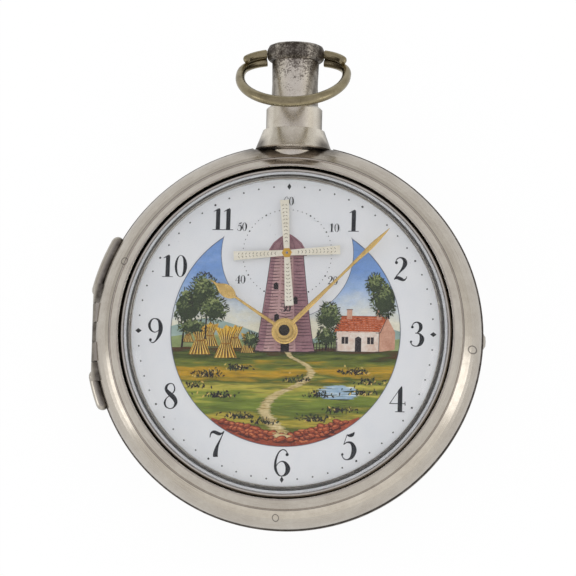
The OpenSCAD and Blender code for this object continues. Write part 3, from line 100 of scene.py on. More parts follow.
class Board:
    """One shader node tree, with short calls that add and join its nodes."""

    def __init__(self, tree: NodeTree) -> None:
        """Keeps the tree that the calls work on."""
        self.tree = tree

    def node(self, kind: str, values: dict[str | int, Any] | None = None, **settings: Any) -> Node:
        """Adds one node.

        Args:
            kind: Blender's name of the node's type.
            values: Inputs by name or number, each a plain value or another node's output.
            settings: Properties of the node itself.

        Returns:
            The node.
        """
        made = self.tree.nodes.new(kind)
        made.location = (200 * (len(self.tree.nodes) % 8), -260 * (len(self.tree.nodes) // 8))
        for name, value in settings.items():
            setattr(made, name, value)
        for key, value in (values or {}).items():
            self.feed(made.inputs[key], value)
        return made

    def feed(self, socket: Socket, value: Any) -> None:
        """Joins an output to a socket, or sets the socket's own value.

        Args:
            socket: The input to fill.
            value: An output socket, a number, a colour or a vector.
        """
        if isinstance(value, Socket):
            self.tree.links.new(value, socket)
        elif socket.type == "RGBA" and len(value) == 3:
            socket.default_value = (*value, 1.0)
        else:
            socket.default_value = value

    def maths(self, operation: str, a: Any, b: Any = 0.0, clamp: bool = False) -> Socket:
        """Adds a Math node and returns its output."""
        return self.node("ShaderNodeMath", {0: a, 1: b}, operation=operation, use_clamp=clamp).outputs[0]

    def plus(self, a: Any, b: Any) -> Socket:
        """Returns the sum of two values."""
        return self.maths("ADD", a, b)

    def less(self, a: Any, b: Any) -> Socket:
        """Returns the first value less the second."""
        return self.maths("SUBTRACT", a, b)

    def times(self, a: Any, b: Any, clamp: bool = False) -> Socket:
        """Returns the product of two values."""
        return self.maths("MULTIPLY", a, b, clamp)

    def most(self, a: Any, b: Any) -> Socket:
        """Returns the greater of two values."""
        return self.maths("MAXIMUM", a, b)

    def vector(self, operation: str, a: Any, b: Any = (0.0, 0.0, 0.0)) -> Socket:
        """Adds a Vector Math node and returns its vector output."""
        return self.node("ShaderNodeVectorMath", {0: a, 1: b}, operation=operation).outputs[0]

    def length(self, a: Any) -> Socket:
        """Adds a Vector Math node and returns the length of a vector."""
        return self.node("ShaderNodeVectorMath", {0: a}, operation="LENGTH").outputs["Value"]

    def from_axis(self, x: Any, y: Any) -> Socket:
        """Returns the distance of a place from the Z axis."""
        return self.length(self.join(x, y, 0.0))

    def noise(self, vector: Any, scale: Any, detail: float = 2.0, roughness: float = 0.5) -> Socket:
        """Adds a noise texture and returns its value."""
        values = {"Vector": vector, "Scale": scale, "Detail": detail, "Roughness": roughness}
        return self.node("ShaderNodeTexNoise", values).outputs[0]

    def span(self, value: Any, low: Any, high: Any, to_low: Any = 0.0, to_high: Any = 1.0) -> Socket:
        """Stretches a value from one range to another and clamps it there."""
        values = {"Value": value, "From Min": low, "From Max": high, "To Min": to_low, "To Max": to_high}
        return self.node("ShaderNodeMapRange", values).outputs["Result"]

    def blend(self, share: Any, a: Any, b: Any, kind: str = "MIX") -> Socket:
        """Mixes two colours and returns the mix."""
        return self.node("ShaderNodeMix", {0: share, 6: a, 7: b}, data_type="RGBA", blend_type=kind).outputs[2]

    def ramp(self, value: Any, stops: Sequence[tuple[float, Colour]]) -> Socket:
        """Adds a colour ramp.

        Args:
            value: What the ramp reads, from 0 to 1.
            stops: Place and colour of each stop, from low to high.

        Returns:
            The ramp's colour.
        """
        made = self.node("ShaderNodeValToRGB", {0: value})
        band = made.color_ramp.elements
        while len(band) > 1:
            band.remove(band[-1])
        band[0].position, band[0].color = stops[0][0], (*stops[0][1], 1.0)
        for place, colour in stops[1:]:
            band.new(place).color = (*colour, 1.0)
        return made.outputs["Color"]

    def split(self, vector: Any) -> list[Socket]:
        """Returns the three parts of a vector."""
        return list(self.node("ShaderNodeSeparateXYZ", {0: vector}).outputs)

    def join(self, x: Any, y: Any, z: Any) -> Socket:
        """Returns a vector made of three parts."""
        return self.node("ShaderNodeCombineXYZ", {0: x, 1: y, 2: z}).outputs[0]

    def bump(self, shader: Node, height: Any, strength: float, depth: float) -> None:
        """Gives a shader the small relief of a height.

        Args:
            shader: The shader whose normal is bent.
            height: The height, from 0 to 1.
            strength: How much of the relief shows.
            depth: The depth in metres of a height of 1.
        """
        made = self.node("ShaderNodeBump", {"Strength": strength, "Distance": depth, "Height": height})
        self.feed(shader.inputs["Normal"], made.outputs[0])

    def mix_shaders(self, share: Any, a: Node, b: Node) -> Node:
        """Adds a Mix Shader node for two shaders."""
        return self.node("ShaderNodeMixShader", {0: share, 1: a.outputs[0], 2: b.outputs[0]})

    def show(self, shader: Node) -> None:
        """Joins a shader to the surface of the tree's output."""
        out = next(n for n in self.tree.nodes if n.type in ("OUTPUT_MATERIAL", "OUTPUT_WORLD"))
        self.feed(out.inputs["Surface"], shader.outputs[0])


class Effects:
    """Shader node groups that several finishes share, each built once."""

    built: ClassVar[dict[str, NodeTree]] = {}
    vectors: ClassVar[tuple[str, ...]] = ("Place", "Stretch", "Centre")
    middle: ClassVar[Triple] = (0.0, 0.0, 0.0)

    @classmethod
    def start(cls, name: str, inputs: dict[str, Any], outputs: dict[str, str]) -> tuple[Board, Any, Any]:
        """Opens a new group.

        Args:
            name: The group's name.
            inputs: Each input's name with its usual value, a number, a colour or a vector.
            outputs: Each output's name with its kind, Float or Color.

        Returns:
            The group's board, its input node and its output node.
        """
        tree = bpy.data.node_groups.new(name, "ShaderNodeTree")
        for label, usual in inputs.items():
            kind = "Float" if isinstance(usual, float) else "Vector" if label in cls.vectors else "Color"
            socket = tree.interface.new_socket(name=label, in_out="INPUT", socket_type=f"NodeSocket{kind}")
            socket.default_value = (*usual, 1.0) if kind == "Color" else usual
        for label, kind in outputs.items():
            tree.interface.new_socket(name=label, in_out="OUTPUT", socket_type=f"NodeSocket{kind}")
        cls.built[name] = tree
        board = Board(tree)
        return board, board.node("NodeGroupInput").outputs, board.node("NodeGroupOutput").inputs

    @classmethod
    def use(cls, board: Board, name: str, values: dict[str, Any]) -> dict[str, Socket]:
        """Places a group in a material.

        Args:
            board: The material's board.
            name: The group's name, which is also the name of the method that builds it.
            values: The group's inputs for this material.

        Returns:
            The group's outputs by name.
        """
        if name not in cls.built:
            getattr(cls, name)()
        made = board.node("ShaderNodeGroup", node_tree=cls.built[name])
        for label, value in values.items():
            board.feed(made.inputs[label], value)
        return dict(made.outputs.items())

    @classmethod
    def turned_lines(cls) -> None:
        """Builds the fine rings that a lathe and a polishing cloth leave, with a few longer scratches."""
        start = {"Place": cls.middle, "Centre": cls.middle, "Pitch": 9000.0}
        board, given, out = cls.start("turned_lines", start, {"Rings": "Float", "Scratches": "Float"})
        local = board.vector("SUBTRACT", given["Place"], given["Centre"])
        x, y, z = board.split(local)
        radius = board.from_axis(x, y)
        turn = board.maths("ARCTAN2", y, x)
        fine = board.join(
            board.times(radius, given["Pitch"]), board.times(turn, 1.6), board.times(z, given["Pitch"])
        )
        board.feed(out["Rings"], board.noise(fine, 1.0, 3.0, 0.6))
        coarse = board.join(board.times(radius, 2600.0), board.times(turn, 3.5), board.times(z, 2600.0))
        board.feed(out["Scratches"], board.span(board.noise(coarse, 1.0, 2.0, 0.55), 0.64, 0.70))

    @classmethod
    def straight_lines(cls) -> None:
        """Builds the lines of a surface that was rubbed or drawn in one direction."""
        start = {"Place": cls.middle, "Stretch": (1.0, 0.04, 1.0), "Pitch": 9000.0}
        board, given, out = cls.start("straight_lines", start, {"Rings": "Float", "Scratches": "Float"})
        local = board.vector("MULTIPLY", given["Place"], given["Stretch"])
        board.feed(out["Rings"], board.noise(local, given["Pitch"], 3.0, 0.6))
        board.feed(out["Scratches"], board.span(board.noise(local, 2400.0, 2.0, 0.5), 0.63, 0.70))

    @classmethod
    def stained(cls) -> None:
        """Builds the cloudy patches of a metal that has been handled and has tarnished."""
        start = {
            "Place": cls.middle, "Size": 260.0, "Amount": 0.5, "Clean": (0.5, 0.5, 0.5),
            "Stain": (0.2, 0.2, 0.2)
        }
        board, given, out = cls.start("stained", start, {"Color": "Color", "Mask": "Float"})
        clouds = board.noise(given["Place"], given["Size"], 5.0, 0.62)
        small = board.noise(given["Place"], board.times(given["Size"], 6.0), 3.0, 0.6)
        both = board.plus(board.times(clouds, 0.7), board.times(small, 0.3))
        mask = board.times(board.span(both, 0.36, 0.72), given["Amount"], clamp=True)
        board.feed(out["Mask"], mask)
        board.feed(out["Color"], board.blend(mask, given["Clean"], given["Stain"]))

    @classmethod
    def pitted(cls) -> None:
        """Builds small eaten pits that gather in patches."""
        start = {"Place": cls.middle, "Size": 2600.0, "Cover": 0.5}
        board, given, out = cls.start("pitted", start, {"Mask": "Float", "Depth": "Float"})
        fine = board.noise(given["Place"], given["Size"], 4.0, 0.65)
        patches = board.noise(given["Place"], board.times(given["Size"], 0.17), 3.0, 0.6)
        both = board.plus(board.times(fine, 0.62), board.times(patches, 0.38))
        edge = board.span(given["Cover"], 0.0, 1.0, 0.72, 0.40)
        board.feed(out["Mask"], board.span(both, edge, board.plus(edge, 0.09)))
        board.feed(out["Depth"], board.span(both, edge, board.plus(edge, 0.16), 1.0, 0.0))

    @classmethod
    def grain(cls) -> None:
        """Builds the even, fine grain of a frosted or fired surface."""
        board, given, out = cls.start("grain", {"Place": cls.middle, "Size": 14000.0}, {"Grain": "Float"})
        board.feed(out["Grain"], board.noise(given["Place"], given["Size"], 2.0, 0.7))

    @classmethod
    def ring_mark(cls) -> None:
        """Builds a thin ring round a centre, such as the joint of a plug or a turned line."""
        start = {"Place": cls.middle, "Centre": cls.middle, "Radius": 0.01, "Width": 0.0001}
        board, given, out = cls.start("ring_mark", start, {"Mask": "Float"})
        x, y, _ = board.split(board.vector("SUBTRACT", given["Place"], given["Centre"]))
        away = board.maths("ABSOLUTE", board.less(board.from_axis(x, y), given["Radius"]))
        board.feed(out["Mask"], board.span(away, board.times(given["Width"], 0.35), given["Width"], 1.0, 0.0))

    @classmethod
    def brush(cls) -> None:
        """Builds the streaks of a fine brush in enamel colours."""
        start = {
            "Place": cls.middle, "Stretch": (1.0, 1.0, 1.0), "Size": 900.0, "Light": (0.6, 0.6, 0.6),
            "Dark": (0.2, 0.2, 0.2)
        }
        board, given, out = cls.start("brush", start, {"Color": "Color", "Streaks": "Float"})
        local = board.vector("MULTIPLY", given["Place"], given["Stretch"])
        broad = board.noise(local, given["Size"], 4.0, 0.6)
        hairs = board.noise(local, board.times(given["Size"], 4.0), 3.0, 0.6)
        both = board.span(board.plus(board.times(broad, 0.65), board.times(hairs, 0.35)), 0.34, 0.66)
        board.feed(out["Streaks"], both)
        board.feed(out["Color"], board.blend(both, given["Dark"], given["Light"]))


def new_material(name: str, colour: Colour) -> tuple[Material, Board, Node, Socket]:
    """Starts a material with a Principled BSDF.

    Args:
        name: The material's name.
        colour: Its colour in Blender's solid view.

    Returns:
        The material, its board, the shader node and the object's own coordinates.
    """
    material = bpy.data.materials.new(name)
    material.use_nodes = True
    material.diffuse_color = (*colour, 1.0)
    board = Board(material.node_tree)
    shader = material.node_tree.nodes["Principled BSDF"]
    return material, board, shader, board.node("ShaderNodeTexCoord").outputs["Object"]


@dataclass(frozen=True)
class MetalFinish:
    """A worked metal surface with its lines, stains and pits.

    Its two tones are written as six hex digits. Sizes of the patterns are in waves per metre and
    depths in metres. Some metals also get painted shade: darker patches in crevices between parts
    and on the pendant's sides.
    """

    name: str
    colour: str
    stain: str
    rough: float = 0.3
    lines: Lines = Lines.TURNED
    centre: Triple = (0.0, 0.0, 0.0)
    pitch: float = 9000.0
    along: Triple = (1.0, 0.04, 1.0)
    depth: float = 0.000004
    relief: float = 0.5
    stain_size: float = 260.0
    stain_amount: float = 0.5
    pit_colour: Colour = (0.05, 0.04, 0.04)
    pit_cover: float = 0.0
    pit_size: float = 2600.0
    pits_from_y: tuple[float, float] = (0.0, 0.0)
    pits_from_x: tuple[float, float] = (0.0, 0.0)
    marks: tuple[tuple[float, float, float, float], ...] = ()
    # Patches of painted shade, each a product of spans, and the dark colour that is painted there.
    grime: tuple[tuple[tuple[str, float, float], ...], ...] = ()
    grime_colour: Colour = shade("38312b")

    def build(self) -> Material:
        """Builds the material.

        Returns:
            The material, with colour, roughness and bump from its nodes.
        """
        clean, stain = shade(self.colour), shade(self.stain)
        material, board, shader, place = new_material(self.name, clean)
        values = {
            "Place": place, "Size": self.stain_size, "Amount": self.stain_amount, "Clean": clean, "Stain": stain
        }
        stained = Effects.use(board, "stained", values)
        colour, rough = stained["Color"], board.span(stained["Mask"], 0.0, 1.0, self.rough, self.rough + 0.16)
        height = Effects.use(board, "grain", {"Place": place})["Grain"]
        if self.lines in (Lines.TURNED, Lines.STRAIGHT):
            kind, way = ("Centre", self.centre) if self.lines is Lines.TURNED else ("Stretch", self.along)
            worked = Effects.use(
                board, f"{self.lines.value}_lines", {"Place": place, kind: way, "Pitch": self.pitch}
            )
            height = board.less(worked["Rings"], board.times(worked["Scratches"], 0.5))
            lighter = board.blend(0.5, colour, (1.0, 1.0, 1.0), "MULTIPLY")
            colour = board.blend(board.times(worked["Scratches"], 0.35), colour, stain)
            colour = board.blend(
                board.span(worked["Rings"], 0.3, 0.7, 0.0, 0.18), colour, lighter, "SOFT_LIGHT"
            )
            rough = board.plus(rough, board.span(worked["Rings"], 0.3, 0.7, -0.05, 0.05))
        if self.pit_cover > 0:
            colour, rough, height = self.pits(board, place, colour, rough, height)
        for x, y, radius, width in self.marks:
            values = {"Centre": (x * MM, y * MM, 0.0), "Radius": radius * MM, "Width": width * MM}
            mark = Effects.use(board, "ring_mark", {"Place": place, **values})["Mask"]
            colour = board.blend(board.times(mark, 0.72), colour, self.pit_colour)
            height = board.less(height, mark)
        # Painted shade: darker colour in crevices and on the pendant's sides.
        if self.grime:
            colour, rough = self.soiled(board, place, colour, rough)
        board.feed(shader.inputs["Base Color"], colour)
        shader.inputs["Metallic"].default_value = 1.0
        board.feed(shader.inputs["Roughness"], rough)
        board.bump(shader, height, self.relief, self.depth)
        return material

    def soiled(self, board: Board, place: Any, colour: Any, rough: Any) -> tuple[Any, Any]:
        """Paints shade into the colour, in crevices between parts and on the pendant's sides and cap.

        Each patch of the finish is a product of spans: along X, Y or Z, from the Z axis outwards or
        to either side of it, from the millimetre where it is full to the one where it ends.

        Args:
            board: The material's board.
            place: The object's own coordinates.
            colour: The colour so far.
            rough: The roughness so far.

        Returns:
            The colour and roughness with the painted shade.
        """
        x, y, z = board.split(place)
        along = {"x": x, "y": y, "z": z, "out": board.from_axis(x, y), "side": board.maths("ABSOLUTE", x)}
        mask: Any = 0.0
        for patch in self.grime:
            here: Any = 1.0
            for way, full, none in patch:
                here = board.times(here, board.span(along[way], full * MM, none * MM, 1.0, 0.0))
            mask = board.most(mask, here)
        mask = board.times(mask, board.span(board.noise(place, 700.0, 4.0, 0.65), 0.3, 0.6, 0.6, 1.0))
        # Painted shade: the colour darkens toward a dark brown where the patches lie.
        darker = board.blend(board.times(mask, 0.85), colour, self.grime_colour)
        return darker, board.plus(rough, board.times(mask, 0.12))

    def pits(self, board: Board, place: Any, colour: Any, rough: Any, height: Any) -> tuple[Any, Any, Any]:
        """Adds pits where the surface is eaten.

        Args:
            board: The material's board.
            place: The object's own coordinates.
            colour: The colour so far.
            rough: The roughness so far.
            height: The height so far.

        Returns:
            The colour, roughness and height with the pits.
        """
        cover: Any = self.pit_cover
        x, y, _ = board.split(place)
        for part, (low, high) in ((y, self.pits_from_y), (x, self.pits_from_x)):
            if low != high:
                cover = board.times(board.span(part, low * MM, high * MM), cover)
        pitted = Effects.use(board, "pitted", {"Place": place, "Size": self.pit_size, "Cover": cover})
        deep = board.times(pitted["Mask"], 0.78)
        colour = board.blend(deep, colour, self.pit_colour)
        rough = board.plus(rough, board.times(pitted["Mask"], 0.22))
        return colour, rough, board.plus(board.times(height, 0.4), board.times(pitted["Depth"], 3.0))


@dataclass(frozen=True)
class EnamelFinish:
    """The white ground of the dial: fired glass with faint clouds, specks and a greyer edge."""

    name: str = "white_enamel"
    white: Colour = shade("efeff1")
    cloud: Colour = shade("e5e7ec")
    speck: Colour = shade("8a8b8c")
    edge_r: float = 22.9
    edge_wide: float = 1.4
    coat: float = 0.05
    ripple: float = 420.0

    def build(self) -> Material:
        """Builds the material and returns it."""
        material, board, shader, place = new_material(self.name, self.white)
        stained = Effects.use(
            board, "stained",
            {"Place": place, "Size": 120.0, "Amount": 0.8, "Clean": self.white, "Stain": self.cloud}
        )
        specks = board.span(board.noise(place, 3600.0, 2.0, 0.5), 0.735, 0.77)
        colour = board.blend(board.times(specks, 0.55), stained["Color"], self.speck)
        x, y, _ = board.split(place)
        edge = board.span(board.from_axis(x, y), (self.edge_r - self.edge_wide) * MM, self.edge_r * MM)
        colour = board.blend(board.times(edge, 0.35), colour, self.cloud)
        board.feed(shader.inputs["Base Color"], colour)
        uneven = board.span(board.noise(place, 900.0, 3.0, 0.6), 0.3, 0.7, 0.12, 0.24)
        board.feed(shader.inputs["Roughness"], uneven)
        shader.inputs["Coat Weight"].default_value = self.coat
        board.bump(shader, board.noise(place, self.ripple, 2.0, 0.5), 0.35, 0.00001)
        return material


def brushed(board: Board, shader: Node, streaks: Any, rough: float) -> None:
    """Gives a painted surface the sheen and the relief of its brush strokes.

    Args:
        board: The material's board.
        shader: The material's shader.
        streaks: The brush's streaks, from 0 to 1.
        rough: The roughness of the smoothest streak.
    """
    board.feed(shader.inputs["Roughness"], board.span(streaks, 0.0, 1.0, rough, rough + 0.12))
    shader.inputs["Specular IOR Level"].default_value = 0.2
    board.bump(shader, streaks, 0.4, 0.000008)


@dataclass(frozen=True)
class PaintFinish:
    """One enamel colour laid on with a fine brush, whose tones are written as six hex digits."""

    name: str
    light: str
    dark: str
    size: float = 900.0
    stretch: Triple = (1.0, 1.0, 1.0)
    rough: float = 0.3

    def build(self) -> Material:
        """Builds the material and returns it."""
        light, dark = shade(self.light), shade(self.dark)
        material, board, shader, place = new_material(self.name, light)
        values = {"Place": place, "Stretch": self.stretch, "Size": self.size, "Light": light, "Dark": dark}
        paint = Effects.use(board, "brush", values)
        board.feed(shader.inputs["Base Color"], paint["Color"])
        brushed(board, shader, paint["Streaks"], self.rough)
        return material


@dataclass(frozen=True)
class BandedPaint:
    """Enamel colours that run into each other up the picture, in long brush strokes."""

    name: str
    low: float
    high: float
    stops: tuple[tuple[float, str], ...]
    size: float = 420.0
    stretch: Triple = (0.16, 1.0, 1.0)
    drift: float = 0.22
    fine: float = 0.6
    rough: float = 0.28

    def build(self) -> Material:
        """Builds the material and returns it."""
        material, board, shader, place = new_material(self.name, shade(self.stops[0][1]))
        values = {"Place": place, "Stretch": self.stretch, "Light": (1.0, 1.0, 1.0)}
        paint = Effects.use(board, "brush", {**values, "Size": self.size, "Dark": (0.0, 0.0, 0.0)})
        height = board.span(board.split(place)[1], self.low * MM, self.high * MM)
        shifted = board.plus(height, board.span(paint["Streaks"], 0.0, 1.0, -self.drift / 2, self.drift / 2))
        colour = board.ramp(shifted, [(share, shade(code)) for share, code in self.stops])
        fine = Effects.use(board, "brush", {**values, "Size": self.size * 5, "Dark": shade("a8a890")})
        board.feed(shader.inputs["Base Color"], board.blend(self.fine, colour, fine["Color"], "MULTIPLY"))
        brushed(board, shader, paint["Streaks"], self.rough)
        return material


@dataclass(frozen=True)
class CrystalFinish:
    """Clear domed glass that lets the lamps reach the dial."""

    name: str = "crystal_glass"
    tint: Colour = (0.985, 0.995, 0.99)
    bending: float = 1.33

    def build(self) -> Material:
        """Builds the material and returns it."""
        material, board, shader, place = new_material(self.name, self.tint)
        shader.inputs["Base Color"].default_value = (*self.tint, 1.0)
        shader.inputs["Transmission Weight"].default_value = 1.0
        shader.inputs["IOR"].default_value = self.bending
        smears = board.noise(place, 150.0, 3.0, 0.6)
        board.feed(shader.inputs["Roughness"], board.span(smears, 0.4, 0.8, 0.0, 0.03))
        clear = board.node("ShaderNodeBsdfTransparent", {"Color": self.tint})
        path = board.node("ShaderNodeLightPath")
        board.show(board.mix_shaders(path.outputs["Is Shadow Ray"], shader, clear))
        return material


# Every metal of the watch, in a maker's words.
METALS: tuple[MetalFinish, ...] = (
    MetalFinish(
        "case_silver", "d2cbc0", "ada398", rough=0.19, stain_amount=0.6,
        marks=(
            (0.0, 0.0, 25.95, 0.07), (27.1, -1.9, 0.55, 0.12), (-23.9, 10.3, 0.5, 0.09),
            (-0.9, -26.9, 0.45, 0.09)
        ),
        # Painted shade along the joint, beside the pendant's foot and in the crevice by the hinge.
        grime=(
            (("z", 12.75, 13.5),), (("side", 6.0, 9.0), ("y", 27.2, 25.9)),
            (("x", -27.2, -26.0), ("z", 12.9, 15.0))
        ),
    ),
    MetalFinish(
        "rim_silver", "d3cec5", "ada499", rough=0.16, stain_amount=0.4, pitch=12000.0,
        # Painted shadow on the inner bezel's lip under the glass's edge.
        grime=((("out", 23.66, 23.74), ("z", 17.15, 16.9)),),
    ),
    MetalFinish(
        "case_back", "c8c2b8", "9f968c", rough=0.18, stain_amount=0.6, pitch=7000.0,
        # Painted shade in the crevice beside the hinge and along the joint.
        grime=(
            (("out", 28.35, 29.0), ("x", -23.0, -19.0), ("z", 12.2, 11.2)),
            (("z", 12.55, 12.2), ("out", 28.7, 29.2))
        ),
    ),
    MetalFinish("inner_silver", "d3cec5", "ada499", rough=0.14, stain_amount=0.4, pitch=12000.0),
    MetalFinish(
        "pendant_silver", "ebe4d7", "b9aea0", rough=0.22, lines=Lines.STRAIGHT, along=(1.0, 1.0, 0.05),
        stain_size=420.0, stain_amount=0.6,
        pit_colour=shade("40322e"), pit_cover=0.88, pit_size=4200.0, pits_from_y=(31.0, 40.6),
        # Painted shade on the pendant's sides, at the collar's foot by the bezel and under the cap's lip.
        grime=(
            (("z", 12.8, 14.5), ("z", 11.6, 10.2), ("y", 34.0, 40.0)),
            (("side", 2.95, 1.95), ("y", 34.2, 33.6)),
            (("side", 4.4, 3.3), ("y", 28.4, 29.6)),
            (("y", 27.7, 28.3), ("side", 5.4, 3.4)),
            (("y", 40.95, 40.7), ("z", 15.9, 15.5)),
        ),
    ),
    MetalFinish(
        "bow_metal", "a69b7f", "6a6048", rough=0.2, lines=Lines.STRAIGHT, stain_amount=0.7, stain_size=520.0,
        depth=0.000006
    ),
    MetalFinish("hinge_silver", "c4bdb2", "857b70", rough=0.2, lines=Lines.STRAIGHT, along=(1.0, 0.05, 1.0)),
    MetalFinish("sail_mark", "8f846a", "6a6048", rough=0.45, lines=Lines.FROSTED),
    MetalFinish(
        "hand_gilt", "e6c37c", "97763a", rough=0.24, lines=Lines.FROSTED, stain_size=900.0, stain_amount=0.7,
        depth=0.00001
    ),
    MetalFinish(
        "sail_silver", "f0eadb", "cfc6ae", rough=0.38, centre=(0.0, 11.5 * MM, 0.0), pitch=2600.0,
        depth=0.00006, stain_size=1500.0, stain_amount=0.6,
    ),
    MetalFinish(
        "gilt_brass", "d2a64c", "a37a30", rough=0.34, lines=Lines.FROSTED, stain_amount=0.6, depth=0.000012
    ),
    MetalFinish(
        "wheel_brass", "c9a257", "8f6d34", rough=0.26, lines=Lines.TURNED, pitch=11000.0, stain_amount=0.5
    ),
    MetalFinish(
        "steel", "9a9ba0", "5f6066", rough=0.2, lines=Lines.STRAIGHT, along=(1.0, 1.0, 0.05), stain_amount=0.5
    ),
    MetalFinish(
        "blued_steel", "2f4678", "3a2f5c", rough=0.22, lines=Lines.STRAIGHT, stain_amount=0.7, stain_size=700.0
    ),
    MetalFinish(
        "dark_steel", "3b3733", "1f1c1a", rough=0.35, lines=Lines.FROSTED, stain_size=1800.0, depth=0.00003
    ),
)


def dress(finish: Material, nodes: Iterable[str]) -> None:
    """Gives CAD nodes a material.

    Args:
        finish: The material.
        nodes: Names of the nodes.
    """
    for name in nodes:
        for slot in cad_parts[name].material_slots:
            slot.material = finish
        log.info("%s carries %s", name, finish.name)


def copy_of(node: str) -> BMesh:
    """Makes a clean bmesh of a CAD node, in metres.

    Args:
        node: The node's name.

    Returns:
        A new bmesh with shared points and whole flat faces.
    """
    made = bmesh.new()
    made.from_mesh(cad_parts[node].data)
    bmesh.ops.remove_doubles(made, verts=made.verts, dist=1e-7)
    bmesh.ops.dissolve_limit(made, angle_limit=math.radians(0.5), verts=made.verts, edges=made.edges)
    return made


def finish_piece(
    made: BMesh, name: str, body: str, materials: Sequence[Material],
    scale: float = MM, smooth_under: float | None = 40.0, stands_for: Sequence[str] = (),
) -> Object:
    """Turns a finished bmesh into a piece of the watch.

    Args:
        made: The mesh, which is freed.
        name: The piece's name.
        body: The CAD body that it rides on.
        materials: The piece's materials, in the order of its faces' numbers.
        scale: Metres for one unit of the mesh.
        smooth_under: Edges that turn less than this many degrees are smooth, or None for flat faces.
        stands_for: CAD nodes that it replaces.

    Returns:
        The new object.
    """
    if scale != 1.0:
        bmesh.ops.scale(made, vec=(scale,) * 3, verts=made.verts)
    mesh = bpy.data.meshes.new(name)
    for face in made.faces:
        face.smooth = smooth_under is not None
    made.to_mesh(mesh)
    made.free()
    if smooth_under is not None:
        mesh.set_sharp_from_angle(angle=math.radians(smooth_under))
    for material in materials:
        mesh.materials.append(material)
    piece = bpy.data.objects.new(name, mesh)
    bpy.context.scene.collection.objects.link(piece)
    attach(piece, body)
    if stands_for:
        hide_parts(*stands_for)
    log.info("%s: %d faces on %s", name, len(mesh.polygons), body)
    return piece


def flowing(path: Sequence[Station], steps: int = 5) -> list[Station]:
    """Lays a smooth line through stations.

    Args:
        path: Place and width of each station.
        steps: New stations for each stretch.

    Returns:
        The stations of the smooth line.
    """

    def between(a: float, b: float, c: float, d: float, t: float) -> float:
        """Returns the value at a share of the way from b to c, on the curve of all four."""
        bend, twist = 2 * a - 5 * b + 4 * c - d, 3 * b - a - 3 * c + d
        return 0.5 * (2 * b + (c - a) * t + bend * t**2 + twist * t**3)

    ends = [path[0], *path, path[-1]]
    made: list[Station] = []
    for near in zip(ends, ends[1:], ends[2:], ends[3:]):
        for k in range(steps):
            made.append(tuple(between(*part, k / steps) for part in zip(*near)))
    return [*made, path[-1]]


def smooth(points: Sequence[Point], steps: int) -> list[Point]:
    """Lays a smooth line through points that have no width."""
    return [(x, y) for x, y, _ in flowing([(x, y, 0.0) for x, y in points], steps)]


def on_ring(radius: float, minute: float, middle_y: float = 0.0) -> Point:
    """Gives a place on a ring of the dial.

    Args:
        radius: The ring's radius.
        minute: Minutes from its top, clockwise.
        middle_y: Height of its middle above the dial's.

    Returns:
        The place.
    """
    a = math.radians(90 - 6 * minute)
    return radius * math.cos(a), middle_y + radius * math.sin(a)


def grow(made: BMesh, row: list[BMVert], places: Sequence[Vector]) -> list[BMVert]:
    """Extrudes an open row of points.

    Args:
        made: The mesh.
        row: The points, each joined to the next.
        places: Where the new points go.

    Returns:
        The new points, in the same order.
    """
    edges = [made.edges.get(pair) for pair in zip(row, row[1:])]
    grown = bmesh.ops.extrude_edge_only(made, edges=edges)["geom"]
    fresh = [v for v in grown if isinstance(v, BMVert)]
    match = {e.other_vert(v): v for v in fresh for e in v.link_edges if e.other_vert(v) in row}
    for old, place in zip(row, places):
        match[old].co = place
    return [match[old] for old in row]


def turned(made: BMesh, section: Sequence[Point], steps: int = 64) -> None:
    """Turns a closed section round the Z axis. A side of it that lies on the axis makes no face.

    Args:
        made: The mesh that gets the ring.
        section: Radius and height of each corner.
        steps: Parts of the whole turn.
    """
    points = [made.verts.new((r, 0, z)) for r, z in section]
    pairs = [pair for pair in zip(points, [*points[1:], points[0]]) if max(v.co.x for v in pair) > 1e-6]
    edges = [made.edges.new(pair) for pair in pairs]
    bmesh.ops.spin(
        made, geom=[*points, *edges], cent=(0, 0, 0), axis=(0, 0, 1), angle=WHOLE_TURN,
        steps=steps, use_merge=True,
    )


def wire(made: BMesh, path: Sequence[tuple[Vector, float]], flat: Vector, sides: int = 20) -> None:
    """Bends a round wire along a path.

    Args:
        made: The mesh that gets the wire.
        path: Middle and radius of each station.
        flat: A direction that stays square to the path.
        sides: Corners of the wire's section.
    """
    frames = []
    for i, (place, radius) in enumerate(path):
        ahead = (path[min(i + 1, len(path) - 1)][0] - path[max(i - 1, 0)][0]).normalized()
        across = flat.cross(ahead).normalized()
        basis = Matrix((across * radius, ahead.cross(across) * radius, ahead * radius)).transposed()
        frames.append(Matrix.Translation(place) @ basis.to_4x4())
    ends = bmesh.ops.create_circle(made, cap_ends=True, radius=1.0, segments=sides, matrix=frames[0])["verts"]
    cap = next(f for f in made.faces if set(f.verts) == set(ends))
    for i, (before, after) in enumerate(zip(frames, frames[1:])):
        grown = bmesh.ops.extrude_face_region(made, geom=[cap], use_keep_orig=i == 0)["geom"]
        cap = next(f for f in grown if isinstance(f, BMFace))
        bmesh.ops.transform(made, matrix=after @ before.inverted(), verts=list(cap.verts))


